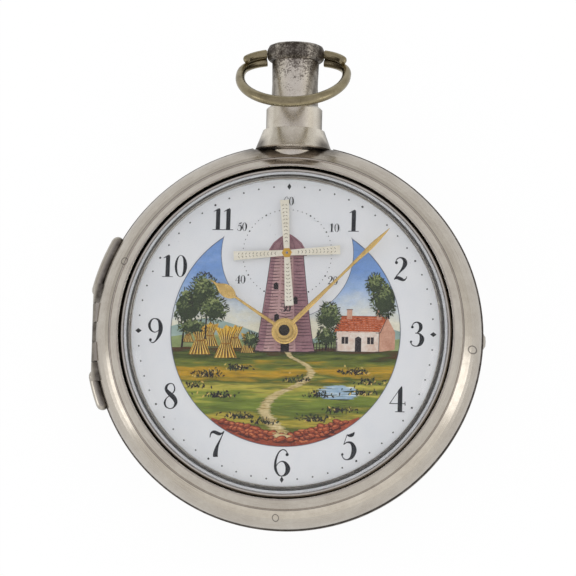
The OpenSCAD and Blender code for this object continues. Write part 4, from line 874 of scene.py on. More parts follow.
@dataclass
class PaintedLayer:
    """Flat painted shapes that lie on the domed enamel.

    Sizes are in millimetres from the dial's centre. Each new shape lies a hair above the last.
    """

    name: str
    lift: float
    finishes: list[Material]
    clip_r: float | None = None
    clip_centre: Point = (0.0, 0.0)
    dial_r: float = 22.9
    dial_edge_z: float = 17.0
    dome: float = 0.7
    hair: float = 0.00004
    grid: float = 2.4
    grid_shift: float = 0.013
    edge_cuts: int = 90
    edge_margin: float = 0.02
    cut_near: float = 1e-5
    thinnest: float = 0.012
    sheet: BMesh = field(default_factory=bmesh.new)
    count: int = 0

    def enamel_z(self, x: float, y: float) -> float:
        """Returns the height of the enamel at a place."""
        return self.dial_edge_z + self.dome * (1 - (x * x + y * y) / self.dial_r**2)

    def add(self, part: BMesh, finish: int, cut: bool) -> None:
        """Joins a flat part to the layer.

        Args:
            part: The part, flat at height 0, which is freed.
            finish: The number of its material.
            cut: Whether it may be large, so that it is cut to follow the dome and the picture's edge.
        """
        if cut:
            self.cut_to_dome(part)
        for face in part.faces:
            face.material_index = finish
        self.count += 1
        for vert in part.verts:
            vert.co.z = self.lift + self.count * self.hair
        mesh = bpy.data.meshes.new("part")
        part.to_mesh(mesh)
        part.free()
        self.sheet.from_mesh(mesh)
        bpy.data.meshes.remove(mesh)

    def cut_to_dome(self, part: BMesh) -> None:
        """Cuts a part by the picture's edge and by a grid, so that it can bend with the enamel.

        Args:
            part: The flat part.
        """
        if self.clip_r is not None:
            cx, cy = self.clip_centre
            reach = max(math.hypot(v.co.x - cx, v.co.y - cy) for v in part.verts)
            for k in range(self.edge_cuts if reach > self.clip_r - self.edge_margin else 0):
                turn = k * WHOLE_TURN / self.edge_cuts
                way = Vector((math.cos(turn), math.sin(turn), 0))
                self.split(part, Vector((cx, cy, 0)) + way * self.clip_r, way, clear_outer=True)
        for axis in (0, 1):
            if not part.verts:
                return
            low, high = min(v.co[axis] for v in part.verts), max(v.co[axis] for v in part.verts)
            way = Vector((1 - axis, axis, 0))
            for k in range(math.ceil(low / self.grid), math.floor(high / self.grid) + 1):
                self.split(part, way * (k * self.grid + self.grid_shift), way)

    def split(self, part: BMesh, place: Vector, way: Vector, clear_outer: bool = False) -> None:
        """Cuts a part by a plane.

        Args:
            part: The flat part.
            place: A point of the plane.
            way: The plane's direction.
            clear_outer: Whether what lies beyond the plane is taken away.
        """
        geom = [*part.verts, *part.edges, *part.faces]
        if geom:
            bmesh.ops.bisect_plane(
                part, geom=geom, dist=self.cut_near, plane_co=place, plane_no=way, clear_outer=clear_outer
            )

    def shape(self, outline: Sequence[Point], finish: int = 0) -> None:
        """Adds a filled shape.

        Args:
            outline: Its corners in order.
            finish: The number of its material.
        """
        part = bmesh.new()
        corners = [part.verts.new((x, y, 0)) for x, y in outline]
        edges = [part.edges.new((a, b)) for a, b in zip(corners, [*corners[1:], corners[0]])]
        bmesh.ops.triangle_fill(part, use_beauty=True, use_dissolve=True, edges=edges)
        self.add(part, finish, cut=True)

    def ribbon(self, path: Sequence[Station], finish: int = 0, cut: bool = False) -> None:
        """Adds a brush stroke of changing width.

        Args:
            path: Its stations: place and whole width.
            finish: The number of its material.
            cut: Whether it may cross the picture's edge.
        """
        part = bmesh.new()
        pair: list[BMVert] = []
        edge = None
        for i, (x, y, width) in enumerate(path):
            before, after = path[max(i - 1, 0)], path[min(i + 1, len(path) - 1)]
            ahead = Vector((after[0] - before[0], after[1] - before[1]))
            ahead = ahead.normalized() if ahead.length > 1e-9 else Vector((0.0, 1.0))
            half = max(width, self.thinnest) / 2
            left = Vector((x - ahead.y * half, y + ahead.x * half, 0))
            right = Vector((x + ahead.y * half, y - ahead.x * half, 0))
            if edge is None:
                pair = [part.verts.new(left), part.verts.new(right)]
                edge = part.edges.new(pair)
                continue
            grown = bmesh.ops.extrude_edge_only(part, edges=[edge])["geom"]
            edge = next(e for e in grown if isinstance(e, BMEdge) and not set(e.verts) & set(pair))
            joined = {v: e.other_vert(v) for v in edge.verts for e in v.link_edges if e.other_vert(v) in pair}
            pair = [next(v for v, old in joined.items() if old is end) for end in pair]
            pair[0].co, pair[1].co = left, right
        self.add(part, finish, cut)

    def stroke(self, path: Sequence[Station], finish: int = 0, steps: int = 3, cut: bool = False) -> None:
        """Adds a brush stroke that bends smoothly through its stations."""
        self.ribbon(flowing(path, steps), finish, cut)

    def block(self, x0: float, y0: float, x1: float, y1: float, finish: int = 0) -> None:
        """Adds an upright rectangle from its lower left to its upper right corner."""
        self.shape([(x0, y0), (x1, y0), (x1, y1), (x0, y1)], finish)

    def spot(
        self, x: float, y: float, long: float, wide: float | None = None, turn: float = 0.0,
        finish: int = 0, sides: int = 8, cut: bool = False,
    ) -> None:
        """Adds a round or oval dab.

        Args:
            x: Place along X.
            y: Place along Y.
            long: Half its length.
            wide: Half its breadth, or None for a round one.
            turn: Turn of its length from X, in degrees.
            finish: The number of its material.
            sides: Corners of its outline.
            cut: Whether it may cross the picture's edge.
        """
        part = bmesh.new()
        flat = Matrix.Diagonal((1.0, (wide or long) / long, 1.0, 1.0))
        place = Matrix.Translation((x, y, 0)) @ Matrix.Rotation(math.radians(turn), 4, "Z") @ flat
        bmesh.ops.create_circle(part, cap_ends=True, radius=long, segments=sides, matrix=place)
        self.add(part, finish, cut)

    def finish_layer(self) -> Object:
        """Lays the shapes on the dome and returns the piece."""
        bmesh.ops.triangulate(self.sheet, faces=self.sheet.faces)
        self.sheet.normal_update()
        downward = [f for f in self.sheet.faces if f.normal.z < 0]
        bmesh.ops.reverse_faces(self.sheet, faces=downward)
        for vert in self.sheet.verts:
            vert.co.z += self.enamel_z(vert.co.x, vert.co.y)
        return finish_piece(self.sheet, self.name, "case", self.finishes)


@dataclass(frozen=True)
class Figure:
    """One hand-drawn number, in parts of its height, with thick and thin strokes and round ends."""

    strokes: tuple[tuple[Station, ...], ...] = ()
    straight: tuple[tuple[Station, ...], ...] = ()
    balls: tuple[Station, ...] = ()

    def draw(self, layer: PaintedLayer, x: float, y: float, height: float) -> None:
        """Draws the number.

        Args:
            layer: The layer that gets it.
            x: Its middle along X.
            y: Its middle along Y.
            height: Its height in millimetres.
        """
        def moved(path: Iterable[Station]) -> list[Station]:
            """Scales and places stations."""
            return [(x + px * height, y + (py - 0.5) * height, w * height) for px, py, w in path]

        for path in self.strokes:
            layer.stroke(moved(path), steps=5)
        for path in self.straight:
            layer.ribbon(moved(path))
        for px, py, r in moved(self.balls):
            layer.spot(px, py, r, sides=12)


def stations(*hundredths: float) -> tuple[Station, ...]:
    """Groups numbers into the stations of a stroke or the balls of a figure.

    Args:
        hundredths: Across, up and width or radius of each in turn, in hundredths of the figure's height.

    Returns:
        The stations, in parts of the height.
    """
    parts = [value / 100 for value in hundredths]
    return tuple(zip(parts[::3], parts[1::3], parts[2::3]))


def oval(half: float, left: float, right: float, thin: float) -> tuple[Station, ...]:
    """Gives the stations of a closed oval whose sides are thicker than its top and foot.

    Args:
        half: Half its breadth.
        left: Width of the stroke at the left.
        right: Width of the stroke at the right.
        thin: Width at the top and foot.

    Returns:
        The stations, all round.
    """
    made = []
    for k in range(25):
        a = math.radians(90 + 15 * k)
        thick = right if math.cos(a) > 0 else left
        made.append(
            (half * math.cos(a), 0.5 + 0.485 * math.sin(a), thin + (thick - thin) * abs(math.cos(a)) ** 1.6)
        )
    return tuple(made)


FIGURES: dict[str, Figure] = {
    "0": Figure(
        straight=(
            oval(0.21, 0.11, 0.17, 0.025),
        ),
    ),
    "1": Figure(
        strokes=(
            stations(-21, 86, 2, -13, 90, 4, -2, 97, 6),
        ),
        straight=(
            stations(0, 2, 19, 0, 94, 19, 6, 100, 6),
            stations(-24, 2, 3, 24, 2, 3),
        ),
    ),
    "2": Figure(
        strokes=(
            stations(
                -22, 78, 3, -15, 93, 4, 0, 99, 6, 15, 90, 14, 19, 74, 19, 12, 56, 14, -3, 36, 6, -18, 17, 4,
                -25, 5, 4
            ),
            stations(-27, 4, 3, -14, 12, 13, 2, 7, 15, 15, 2, 9, 25, 10, 4, 27, 18, 3),
        ),
        balls=stations(-18, 77, 6.5),
    ),
    "3": Figure(
        strokes=(
            stations(-21, 80, 3, -12, 95, 4, 3, 99, 6, 15, 88, 14, 15, 71, 13, 4, 57, 5, -6, 54, 3),
            stations(-5, 54.5, 3, 12, 51, 7, 22, 33, 19, 17, 12, 15, 2, 1, 5, -15, 4, 4, -25, 17, 3),
        ),
        balls=stations(-18, 79, 5.5, -22, 19, 4.5),
    ),
    "4": Figure(
        straight=(
            stations(10, 2, 18, 10, 84, 17, 16, 100, 3),
            stations(14, 99, 2.5, -29, 34, 2.5),
            stations(-31, 33, 3, 30, 33, 3),
            stations(29, 41, 3, 30, 26, 3),
            stations(-8, 1.5, 3, 28, 1.5, 3),
        ),
    ),
    "5": Figure(
        strokes=(
            stations(-5, 93, 3, 3, 90, 10, 14, 93, 13, 22, 103, 3),
            stations(
                -17, 56, 2.5, -4, 65, 5, 13, 61, 11, 22, 38, 19, 15, 12, 14, 0, 1, 5, -15, 4, 4, -25, 20, 2.5
            ),
        ),
        straight=(
            stations(-5, 93, 2.5, -17, 56, 2.5),
        ),
        balls=stations(-21, 20, 4.5),
    ),
    "6": Figure(
        strokes=(
            stations(
                20, 84, 3, 13, 95, 4, 1, 99, 4, -14, 87, 5, -24, 58, 8, -24, 28, 10, -13, 6, 6, 1, 1, 4, 16, 10,
                12, 22, 29, 18, 14, 48, 11, 0, 56, 4, -14, 49, 3, -23, 36, 3
            ),
        ),
        balls=stations(18, 81, 6),
    ),
    "7": Figure(
        strokes=(
            stations(-28, 76, 3, -24, 93, 6, -12, 98, 12, 6, 91, 13, 18, 93, 6, 27, 102, 3),
            stations(26, 100, 3, 13, 70, 5, 1, 42, 11, -5, 16, 18, -5, 1, 19),
        ),
    ),
    "8": Figure(
        strokes=(
            stations(
                16, 82, 5, 10, 95, 4, -2, 99, 4, -15, 90, 9, -17, 74, 12, -3, 58, 17, 14, 42, 18, 22, 24, 13,
                14, 6, 6, -1, 0, 3.5, -17, 8, 6, -22, 24, 8, -15, 41, 4, 2, 55, 3, 14, 68, 5, 16, 82, 5
            ),
        ),
    ),
    "9": Figure(
        strokes=(
            stations(
                22, 60, 3, 10, 47, 3, -3, 44, 4, -17, 54, 8, -23, 74, 11, -14, 94, 6, 0, 99, 4, 15, 91, 10, 23,
                68, 17, 21, 40, 15, 7, 12, 7, -7, 1, 4, -19, 8, 3
            ),
        ),
        balls=stations(-17, 13, 6),
    ),
}


def draw_number(layer: PaintedLayer, words: str, x: float, y: float, height: float, step: float) -> None:
    """Draws a number of one or two figures round its middle.

    Args:
        layer: The layer that gets it.
        words: The figures.
        x: Middle along X.
        y: Middle along Y.
        height: Height in millimetres.
        step: Distance from figure to figure, in parts of the height.
    """
    for i, word in enumerate(words):
        FIGURES[word].draw(layer, x + (i - (len(words) - 1) / 2) * step * height, y, height)


@dataclass
class EnamelDial:
    """The enamel plate with its hours, minute track, seconds circle and painted landscape."""

    hours_r: float = 19.0
    track_r: float = 21.45
    picture_r: float = 16.65
    seconds_y: float = 11.5
    seconds_ring_r: float = 6.45
    seconds_figure_r: float = 7.75
    seconds_ground_r: float = 9.6
    seconds_figure_height: float = 1.25
    low_figure_drop: float = 0.2
    figure_step: float = 0.58
    narrow_step: float = 0.47
    heights: tuple[float, ...] = (3.2, 3.4, 3.55, 3.75, 3.9, 3.9, 3.75, 3.7, 3.6, 3.25, 3.2)

    def build(self) -> None:
        """Builds every layer of the dial."""
        self.enamel = EnamelFinish().build()
        self.black = PaintFinish("dial_black", "25272e", "0e0f13", 2600.0).build()
        dress(self.enamel, ["dial"])
        self.hours()
        self.track()
        Landscape(self.picture_r, self.seconds_y, self.seconds_ground_r, self.enamel).build()
        self.seconds()

    def hours(self) -> None:
        """Draws the hours from 1 to 11; the seconds circle has the place of 12."""
        layer = PaintedLayer("dial_hours", 0.012, [self.black])
        for hour, height in enumerate(self.heights, start=1):
            step = self.narrow_step if hour == 11 else self.figure_step
            draw_number(layer, str(hour), *on_ring(self.hours_r, 5 * hour), height, step)
        layer.finish_layer()

    def track(self) -> None:
        """Draws a dot for each minute and a diamond at each quarter."""
        layer = PaintedLayer("dial_minute_track", 0.012, [self.black])
        for minute in range(60):
            x, y = on_ring(self.track_r, minute)
            if minute % 15 == 0:
                long, wide = (0.29, 0.50) if minute in (0, 30) else (0.50, 0.36)
                layer.spot(x, y, long, wide, finish=0, sides=4)
            else:
                layer.spot(x, y, 0.17 if minute % 5 == 0 else 0.13, sides=7)
        layer.finish_layer()

    def seconds(self) -> None:
        """Draws the seconds circle: a dot for each second and a number for each ten."""
        layer = PaintedLayer("dial_seconds_ring", 0.060, [self.black])
        for second in range(60):
            x, y = on_ring(self.seconds_ring_r, second, self.seconds_y)
            layer.spot(x, y, 0.13 if second % 5 == 0 else 0.075, sides=6)
        for ten in range(10, 70, 10):
            x, y = on_ring(self.seconds_figure_r, ten, self.seconds_y)
            drop = self.low_figure_drop if ten == 30 else 0.0
            draw_number(layer, str(ten), x, y - drop, self.seconds_figure_height, self.figure_step)
        layer.finish_layer()


@dataclass
class Landscape:
    """A plain country view of this dial's own: a mill, a cottage, corn stooks, trees, a pond and fields."""

    radius: float
    seconds_y: float
    ground_r: float
    enamel: Material
    horizon: float = -2.4
    seed: int = 11
    ground_steps: int = 96
    edge_steps: int = 120
    reach: float = 16.9

    def build(self) -> None:
        """Paints the view from the far sky to the near bank."""
        self.luck = random.Random(self.seed)
        self.ink = PaintFinish("paint_ink", "32272a", "181214", 2400.0).build()
        self.leaf = PaintFinish("paint_leaf", "7d8a56", "4b5a38", 1800.0).build()
        self.leaf_dark = PaintFinish("paint_leaf_dark", "414d31", "222c1c", 1800.0).build()
        self.straw = PaintFinish("paint_straw", "efc64c", "cf9426", 1300.0, stretch=(3.0, 0.5, 1.0)).build()
        self.straw_dark = PaintFinish("paint_straw_dark", "a8742a", "6e4418", 1600.0).build()
        self.sky()
        self.hills()
        self.fields()
        self.pond()
        self.stooks()
        self.cottage()
        self.trees()
        self.seconds_ground()
        self.mill()
        self.bank()
        self.tufts()

    def layer(self, name: str, lift: float, finishes: list[Material]) -> PaintedLayer:
        """Starts a layer that stays within the picture's circle."""
        return PaintedLayer(name, lift, finishes, clip_r=self.radius)

    def vary(self, low: float, high: float) -> float:
        """Draws a number between two limits."""
        return self.luck.uniform(low, high)

    def inside(self, x: float, y: float, margin: float) -> bool:
        """Tells whether a place is within the picture's circle by more than a margin."""
        return math.hypot(x, y) < self.radius - margin

    def wavy(self, x0: float, x1: float, y: float, swing: float, steps: int) -> list[Point]:
        """Gives the points of an uneven line from left to right."""
        return [(x0 + (x1 - x0) * i / steps, y + self.vary(-swing, swing)) for i in range(steps + 1)]

    def sky(self) -> None:
        """Paints the sky, blue at the top and pale at the horizon."""
        stops = ((0.0, "efe6c4"), (0.30, "eeead8"), (0.52, "dbe3ec"), (0.76, "a5c1ea"), (1.0, "7fa4e0"))
        paint = BandedPaint(
            "paint_sky", self.horizon, 9.4, stops, size=260.0, stretch=(0.6, 1.0, 1.0), drift=0.16, fine=0.25
        ).build()
        layer = self.layer("picture_sky", 0.012, [paint])
        layer.block(-self.reach, self.horizon - 0.5, self.reach, self.reach)
        layer.finish_layer()

    def hills(self) -> None:
        """Paints two low hills far off."""
        far = PaintFinish("paint_hill_far", "a9bcb4", "8ba39c", 500.0, stretch=(0.5, 1.0, 1.0)).build()
        near = PaintFinish("paint_hill_near", "9daa74", "7c8a58", 600.0, stretch=(0.4, 1.0, 1.0)).build()
        layer = self.layer("picture_hills", 0.020, [far, near])
        foot = self.horizon - 0.4
        ridges = (
            (0, [(-17, 0.6), (-14, 1.4), (-11, 1.9), (-8, 1.2), (-5, 0.2), (-2, -0.9), (0, -2.0)]),
            (0, [(2, -1.8), (5, -0.6), (8, 0.7), (11, 1.3), (14, 1.0), (17, 0.2)]),
            (1, [
                (-17, -0.9), (-12, -0.3), (-7, -1.1), (-2, -1.5), (4, -1.6), (9, -0.9), (13, -1.2), (17, -0.7),
            ]),
        )
        for finish, ridge in ridges:
            layer.shape([(ridge[0][0], foot), *smooth(ridge, 3), (ridge[-1][0], foot)], finish)
        layer.finish_layer()

    def fields(self) -> None:
        """Paints the fields in long strokes of green, yellow and brown, with a path from the mill."""
        stops = (
            (0.0, "8f8a34"), (0.10, "5b6a2c"), (0.20, "cdb748"), (0.30, "68792f"), (0.42, "8a9a3c"),
            (0.52, "d6c658"), (0.62, "5c6e2e"), (0.74, "d9a82a"), (0.84, "7a8434"), (0.93, "465424"),
            (1.0, "57391f"),
        )
        paint = BandedPaint(
            "paint_fields", -15.5, self.horizon + 0.2, stops, size=330.0, stretch=(0.13, 1.0, 1.0), drift=0.24
        ).build()
        path = PaintFinish("paint_path", "e4d3a4", "c9b27c", 420.0).build()
        worn = PaintFinish("paint_path_worn", "c3a765", "9a8148", 900.0).build()
        layer = self.layer("picture_fields", 0.028, [paint, path, worn])
        edge = self.wavy(-self.reach, self.reach, self.horizon, 0.12, 24)
        layer.shape([(-self.reach, -self.reach), (self.reach, -self.reach), *reversed(edge)], 0)
        bends = [
            (0.2, self.horizon - 0.1, 0.7), (0.9, -3.6, 0.7), (3.0, -4.7, 0.8), (3.9, -6.0, 1.0),
            (2.2, -7.6, 1.2), (-1.2, -9.2, 1.4), (-2.8, -11.2, 1.6), (-1.4, -13.4, 1.9), (0.2, -15.4, 2.2)
        ]
        for x, y, w in flowing(bends, 16):
            for finish in (2, 1, 1, self.luck.choice((1, 1, 2))):
                reach, middle = w * self.vary(0.28, 0.62), x + w * self.vary(-0.2, 0.2)
                crest = (middle, y + self.vary(-0.05, 0.05), 0.06 + 0.07 * w)
                stroke = [(middle - reach, y, 0.03), crest, (middle + reach, y - 0.02, 0.03)]
                layer.stroke(stroke, finish)
        layer.finish_layer()

    def pond(self) -> None:
        """Paints a small pond with a pale gleam."""
        water = PaintFinish("paint_water", "b3cbdd", "7e9fbd", 700.0, stretch=(0.2, 1.0, 1.0)).build()
        gleam = PaintFinish("paint_gleam", "eef2f0", "c9dbe6", 900.0, stretch=(0.2, 1.0, 1.0)).build()
        layer = self.layer("picture_pond", 0.036, [self.leaf_dark, water, gleam])
        middle_x, middle_y = 7.9, -8.8
        half_long, half_high = 3.3, 1.15
        layer.spot(middle_x, middle_y, 3.0, 0.95, 2, finish=1, sides=28, cut=True)
        for _ in range(120):
            rise = self.vary(-1.05, 1.05)
            reach = half_long * math.sqrt(max(1 - (rise / half_high) ** 2, 0.0))
            long = self.vary(0.25, 0.6) * reach
            x, y = middle_x + self.vary(-1, 1) * (reach - long * 0.8), middle_y + rise
            edge = abs(rise) > 0.86 or abs(x - middle_x) + long > reach * 1.04
            finish = 0 if edge and rise < 0.4 else 2 if self.luck.random() < 0.3 else 1
            layer.stroke([(x - long, y, 0.02), (x, y + 0.03, 0.15), (x + long, y, 0.02)], finish)
        layer.finish_layer()

    def stooks(self) -> None:
        """Paints stooks of corn, each a bundle of strokes tied at the middle."""
        pale = PaintFinish("paint_straw_pale", "f8de84", "eac25a", 1500.0).build()
        layer = self.layer("picture_stooks", 0.038, [self.straw, self.straw_dark, self.ink, pale])
        places = (
            (-14.1, -1.6, 2.3), (-10.9, -2.2, 3.4), (-7.3, -2.4, 3.2),
            (-12.4, -3.4, 4.4), (-8.6, -3.9, 4.6), (-5.4, -3.1, 2.9),
        )
        bundle = (
            (-1, 0), (-0.42, 0.5), (-0.98, 1), (-0.3, 0.92), (0, 1.06),
            (0.35, 0.92), (1, 0.98), (0.42, 0.5), (1, 0),
        )
        straws = 19
        for x, y, size in places:
            half = size * 0.36
            layer.shape([(x + half * u, y + size * v) for u, v in bundle], 0)
            for k in range(straws):
                lean = (2 * k - straws + 1) / (straws - 1)
                foot, waist = x + lean * half * 0.95, x + lean * half * 0.4
                wide = 0.09 + 0.05 * self.luck.random()
                top = (foot, y + size * self.vary(0.86, 1.02), wide * 0.5)
                layer.stroke([(foot, y + 0.02, wide), (waist, y + size * 0.5, wide), top], (1, 3, 2)[k % 3])
            band = half * 0.45
            left, right = (x - band, y + size * 0.47, 0.16), (x + band, y + size * 0.47, 0.16)
            layer.ribbon([left, (x, y + size * 0.44, 0.2), right], 1)
            layer.ribbon([(x - half * 1.1, y - 0.02, 0.1), (x + half * 1.3, y - 0.05, 0.12)], 2)
        layer.finish_layer()

    def cottage(self) -> None:
        """Paints a long low cottage with a red tiled roof and two chimneys, and a paling fence."""
        wall = PaintFinish("paint_wall", "f0e6dc", "d9b9a6", 500.0).build()
        side = PaintFinish("paint_wall_side", "d8a78f", "c08a72", 700.0).build()
        tile = PaintFinish("paint_tile", "d06c3e", "a8492a", 1700.0).build()
        layer = self.layer("picture_cottage", 0.042, [wall, side, tile, self.ink])
        foot = self.horizon - 0.3
        eaves, ridge = foot + 2.75, foot + 5.15
        layer.block(7.4, foot, 13.6, foot + 2.9, 0)
        layer.shape(
            [(13.6, foot), (15.9, foot + 0.35), (15.9, foot + 2.9), (14.75, foot + 5.0), (13.6, foot + 2.9)], 1
        )
        layer.shape([(6.9, eaves), (13.75, eaves), (14.75, ridge), (8.2, ridge)], 2)
        for x in (8.9, 13.2):
            layer.block(x, foot + 4.7, x + 0.75, foot + 6.1, 1)
            layer.ribbon([(x - 0.08, foot + 6.1, 0.14), (x + 0.83, foot + 6.1, 0.14)], 3)
        row_step, tile_step = 0.32, 0.43
        for row in range(7):
            y = foot + 2.95 + row * row_step
            inset = row * row_step / 2.4
            for k in range(15):
                x = 7.1 + inset * 1.3 + k * tile_step + (row % 2) * 0.2
                if x < 13.5 + inset:
                    finish = 3 if self.luck.random() < 0.4 else 1
                    layer.ribbon([(x, y, 0.05), (x + 0.16, y - 0.05, 0.07), (x + 0.32, y, 0.04)], finish)
        for x in (8.2, 11.9):
            layer.block(x, foot + 1.1, x + 0.95, foot + 2.1, 3)
            layer.ribbon([(x + 0.475, foot + 1.1, 0.07), (x + 0.475, foot + 2.1, 0.07)], 0)
        door = [(10.15, foot), (11.05, foot), (11.05, foot + 1.95), (10.6, foot + 2.2), (10.15, foot + 1.95)]
        layer.shape(door, 3)
        outlines = (
            (7.4, foot, 7.4, foot + 2.9), (13.6, foot, 13.6, foot + 2.9), (6.9, eaves, 13.75, eaves),
            (13.75, eaves, 14.75, ridge), (8.2, ridge, 14.75, ridge), (7.2, foot, 13.8, foot),
        )
        for x0, y0, x1, y1 in outlines:
            layer.ribbon([(x0, y0, 0.09), (x1, y1, 0.09)], 3)
        for k in range(9):
            x = 4.2 + k * 0.42
            layer.ribbon([(x, foot - 0.05, 0.12), (x + self.vary(-0.05, 0.05), foot + 1.35, 0.1)], 3)
        for y in (0.45, 1.0):
            layer.ribbon([(4.0, foot + y, 0.07), (7.5, foot + y + 0.05, 0.07)], 3)
        layer.finish_layer()

    def trees(self) -> None:
        """Paints trees and hedges as many small dabs of three greens."""
        pale = PaintFinish("paint_leaf_pale", "a3ab72", "7f8b55", 1800.0).build()
        layer = self.layer("picture_trees", 0.046, [self.leaf, self.leaf_dark, pale, self.ink])
        trunks = (
            ((-15.0, -2.4, 0.3), (-14.7, 1.0, 0.22), (-14.2, 4.4, 0.12)),
            ((-11.6, -1.2, 0.26), (-11.5, 2.0, 0.2), (-11.0, 5.0, 0.1)),
            ((14.95, 2.15, 0.26), (14.7, 3.6, 0.2), (14.0, 6.0, 0.1)),
            ((6.0, -2.6, 0.24), (6.1, 0.2, 0.16), (6.3, 2.4, 0.1)),
        )
        for trunk in trunks:
            layer.stroke(trunk, 3, steps=4, cut=True)
        clumps = (
            (-14.2, 3.6, 2.3, 2.4, 90), (-12.0, 5.6, 2.0, 2.6, 110), (-10.4, 3.2, 1.8, 1.7, 70),
            (-13.6, 0.6, 1.9, 1.0, 40), (14.3, 5.0, 1.9, 2.5, 90), (12.9, 7.2, 1.2, 1.5, 45),
            (6.3, 2.3, 1.5, 2.0, 80), (6.0, -0.6, 1.3, 1.2, 40), (-4.9, -1.2, 1.0, 1.0, 34),
        )
        for x, y, wide, high, dabs in clumps:
            layer.spot(x, y, wide * 0.78, high * 0.8, finish=1, sides=18, cut=True)
            for _ in range(dabs * 2):
                a, r = self.vary(0, WHOLE_TURN), math.sqrt(self.luck.random())
                px, py = x + wide * r * math.cos(a), y + high * r * math.sin(a)
                if self.inside(px, py, 0.3):
                    lit = (math.sin(a) * 0.5 + 0.5) * self.luck.random()
                    finish = 2 if lit > 0.62 else 0 if lit > 0.25 else 1
                    size = self.vary(0.2, 0.38), self.vary(0.08, 0.15)
                    layer.spot(px, py, *size, self.vary(0, 180), finish=finish, sides=6)
            for k in range(dabs // 2):
                a, r = k * WHOLE_TURN / (dabs // 2), self.vary(0.95, 1.16)
                px, py = x + wide * r * math.cos(a), y + high * r * math.sin(a)
                if self.inside(px, py, 0.5):
                    long, turn = self.vary(0.24, 0.4), math.degrees(a) + self.vary(-50, 50)
                    layer.spot(px, py, long, 0.08, turn, finish=self.luck.choice((0, 1, 1, 3)), sides=6)
        layer.finish_layer()

    def seconds_ground(self) -> None:
        """Lays the white ground of the seconds circle over the view, with its fine blue-grey edge."""
        line = PaintFinish("paint_edge_line", "6d7284", "4b4f60", 2000.0).build()
        layer = PaintedLayer("dial_seconds_ground", 0.050, [self.enamel, line], clip_r=self.radius + 0.12)
        angles = [k * WHOLE_TURN / self.ground_steps for k in range(self.ground_steps + 1)]
        turn = [(self.ground_r * math.cos(a), self.seconds_y + self.ground_r * math.sin(a)) for a in angles]
        layer.shape(turn[:-1], 0)
        layer.ribbon([(x, y, 0.07) for x, y in turn], 1, cut=True)
        layer.finish_layer()
        rim = PaintedLayer("picture_edge", 0.052, [line])
        start = math.asin(self.cut_y() / self.radius)
        sweep = math.pi + 2 * start
        arc = [(math.pi - start) + sweep * k / self.edge_steps for k in range(self.edge_steps + 1)]
        rim.ribbon([(self.radius * math.cos(a), self.radius * math.sin(a), 0.09) for a in arc])
        rim.finish_layer()

    def cut_y(self) -> float:
        """Returns the height at which the seconds circle's ground leaves the picture's edge."""
        return (self.radius**2 - self.ground_r**2 + self.seconds_y**2) / (2 * self.seconds_y)

    def mill(self) -> None:
        """Paints a round tower mill of stone courses under a domed cap, behind the turning sails."""
        stone = PaintFinish("paint_mill", "d2aeab", "b58d8d", 700.0).build()
        shadow = PaintFinish("paint_mill_shadow", "ab8288", "8c656e", 900.0).build()
        line = PaintFinish("paint_mill_line", "6c4852", "472f38", 1800.0).build()
        layer = PaintedLayer("picture_mill", 0.056, [stone, shadow, line, self.ink], clip_r=self.radius)
        foot, top = self.horizon - 0.45, 11.4
        low, high, course_step = 4.35, 2.35, 0.47

        def half(y: float) -> float:
            """Returns half the tower's breadth at a height."""
            return low + (high - low) * ((y - foot) / (top - foot)) ** 0.8

        rows = [foot + (top - foot) * k / 12 for k in range(13)]
        for left, right, finish in ((-1, 1, 0), (0.36, 1, 1), (-0.98, -0.72, 1)):
            sides = [(half(y) * left, y) for y in rows], [(half(y) * right, y) for y in reversed(rows)]
            layer.shape([*sides[0], *sides[1]], finish)
        course = foot + 0.5
        while course < top - 0.2:
            for x0, x1 in ((-0.98, -0.34), (-0.3, 0.32), (0.36, 0.98)):
                wide = half(course)
                if self.luck.random() < 0.93:
                    a, b = x0 * wide + self.vary(0, 0.15), x1 * wide - self.vary(0, 0.15)
                    sag = -0.06 * wide * (1 - abs(x0 + x1) / 2)
                    start = (a, course + self.vary(-0.03, 0.03), 0.07)
                    layer.ribbon([start, ((a + b) / 2, course + sag, 0.14), (b, course, 0.07)], 2)
            course += course_step
        dome = ((2.75, -0.15), (2.65, 0.7), (2.05, 1.7), (1.1, 2.5), (0.35, 2.95))
        left, right = [(-x, top + y) for x, y in dome], [(x, top + y) for x, y in reversed(dome)]
        layer.shape([*left, (0, top + 3.1), *right], 1)
        for x in (-1.9, -0.95, 0.0, 0.95, 1.9):
            layer.stroke([(x * 1.3, top, 0.07), (x * 1.05, top + 1.3, 0.06), (x * 0.3, top + 2.8, 0.04)], 2)
        layer.ribbon([(-2.85, top - 0.12, 0.16), (2.85, top - 0.12, 0.16)], 3)
        layer.ribbon([(0, top + 3.0, 0.14), (0, top + 4.0, 0.08)], 3)
        layer.spot(0, top + 4.1, 0.17, finish=3, sides=8)
        for x, y in ((-1.5, 6.2), (1.35, 4.1), (-1.3, 1.6)):
            sill, head = ((x - 0.34, y), (x + 0.34, y)), (
                (x + 0.34, y + 0.85), (x, y + 1.08), (x - 0.34, y + 0.85)
            )
            layer.shape([*sill, *head], 3)
        arch = ((0.62, foot + 1.7), (0.3, foot + 2.15), (-0.3, foot + 2.15), (-0.62, foot + 1.7))
        layer.shape([(-0.62, foot), (0.62, foot), *arch], 3)
        for side in (-1, 1):
            layer.ribbon([(side * half(y), y, 0.08) for y in rows], 3)
        layer.ribbon([(-low - 0.25, foot, 0.2), (0, foot - 0.08, 0.12), (low + 0.25, foot, 0.2)], 3)
        layer.finish_layer()

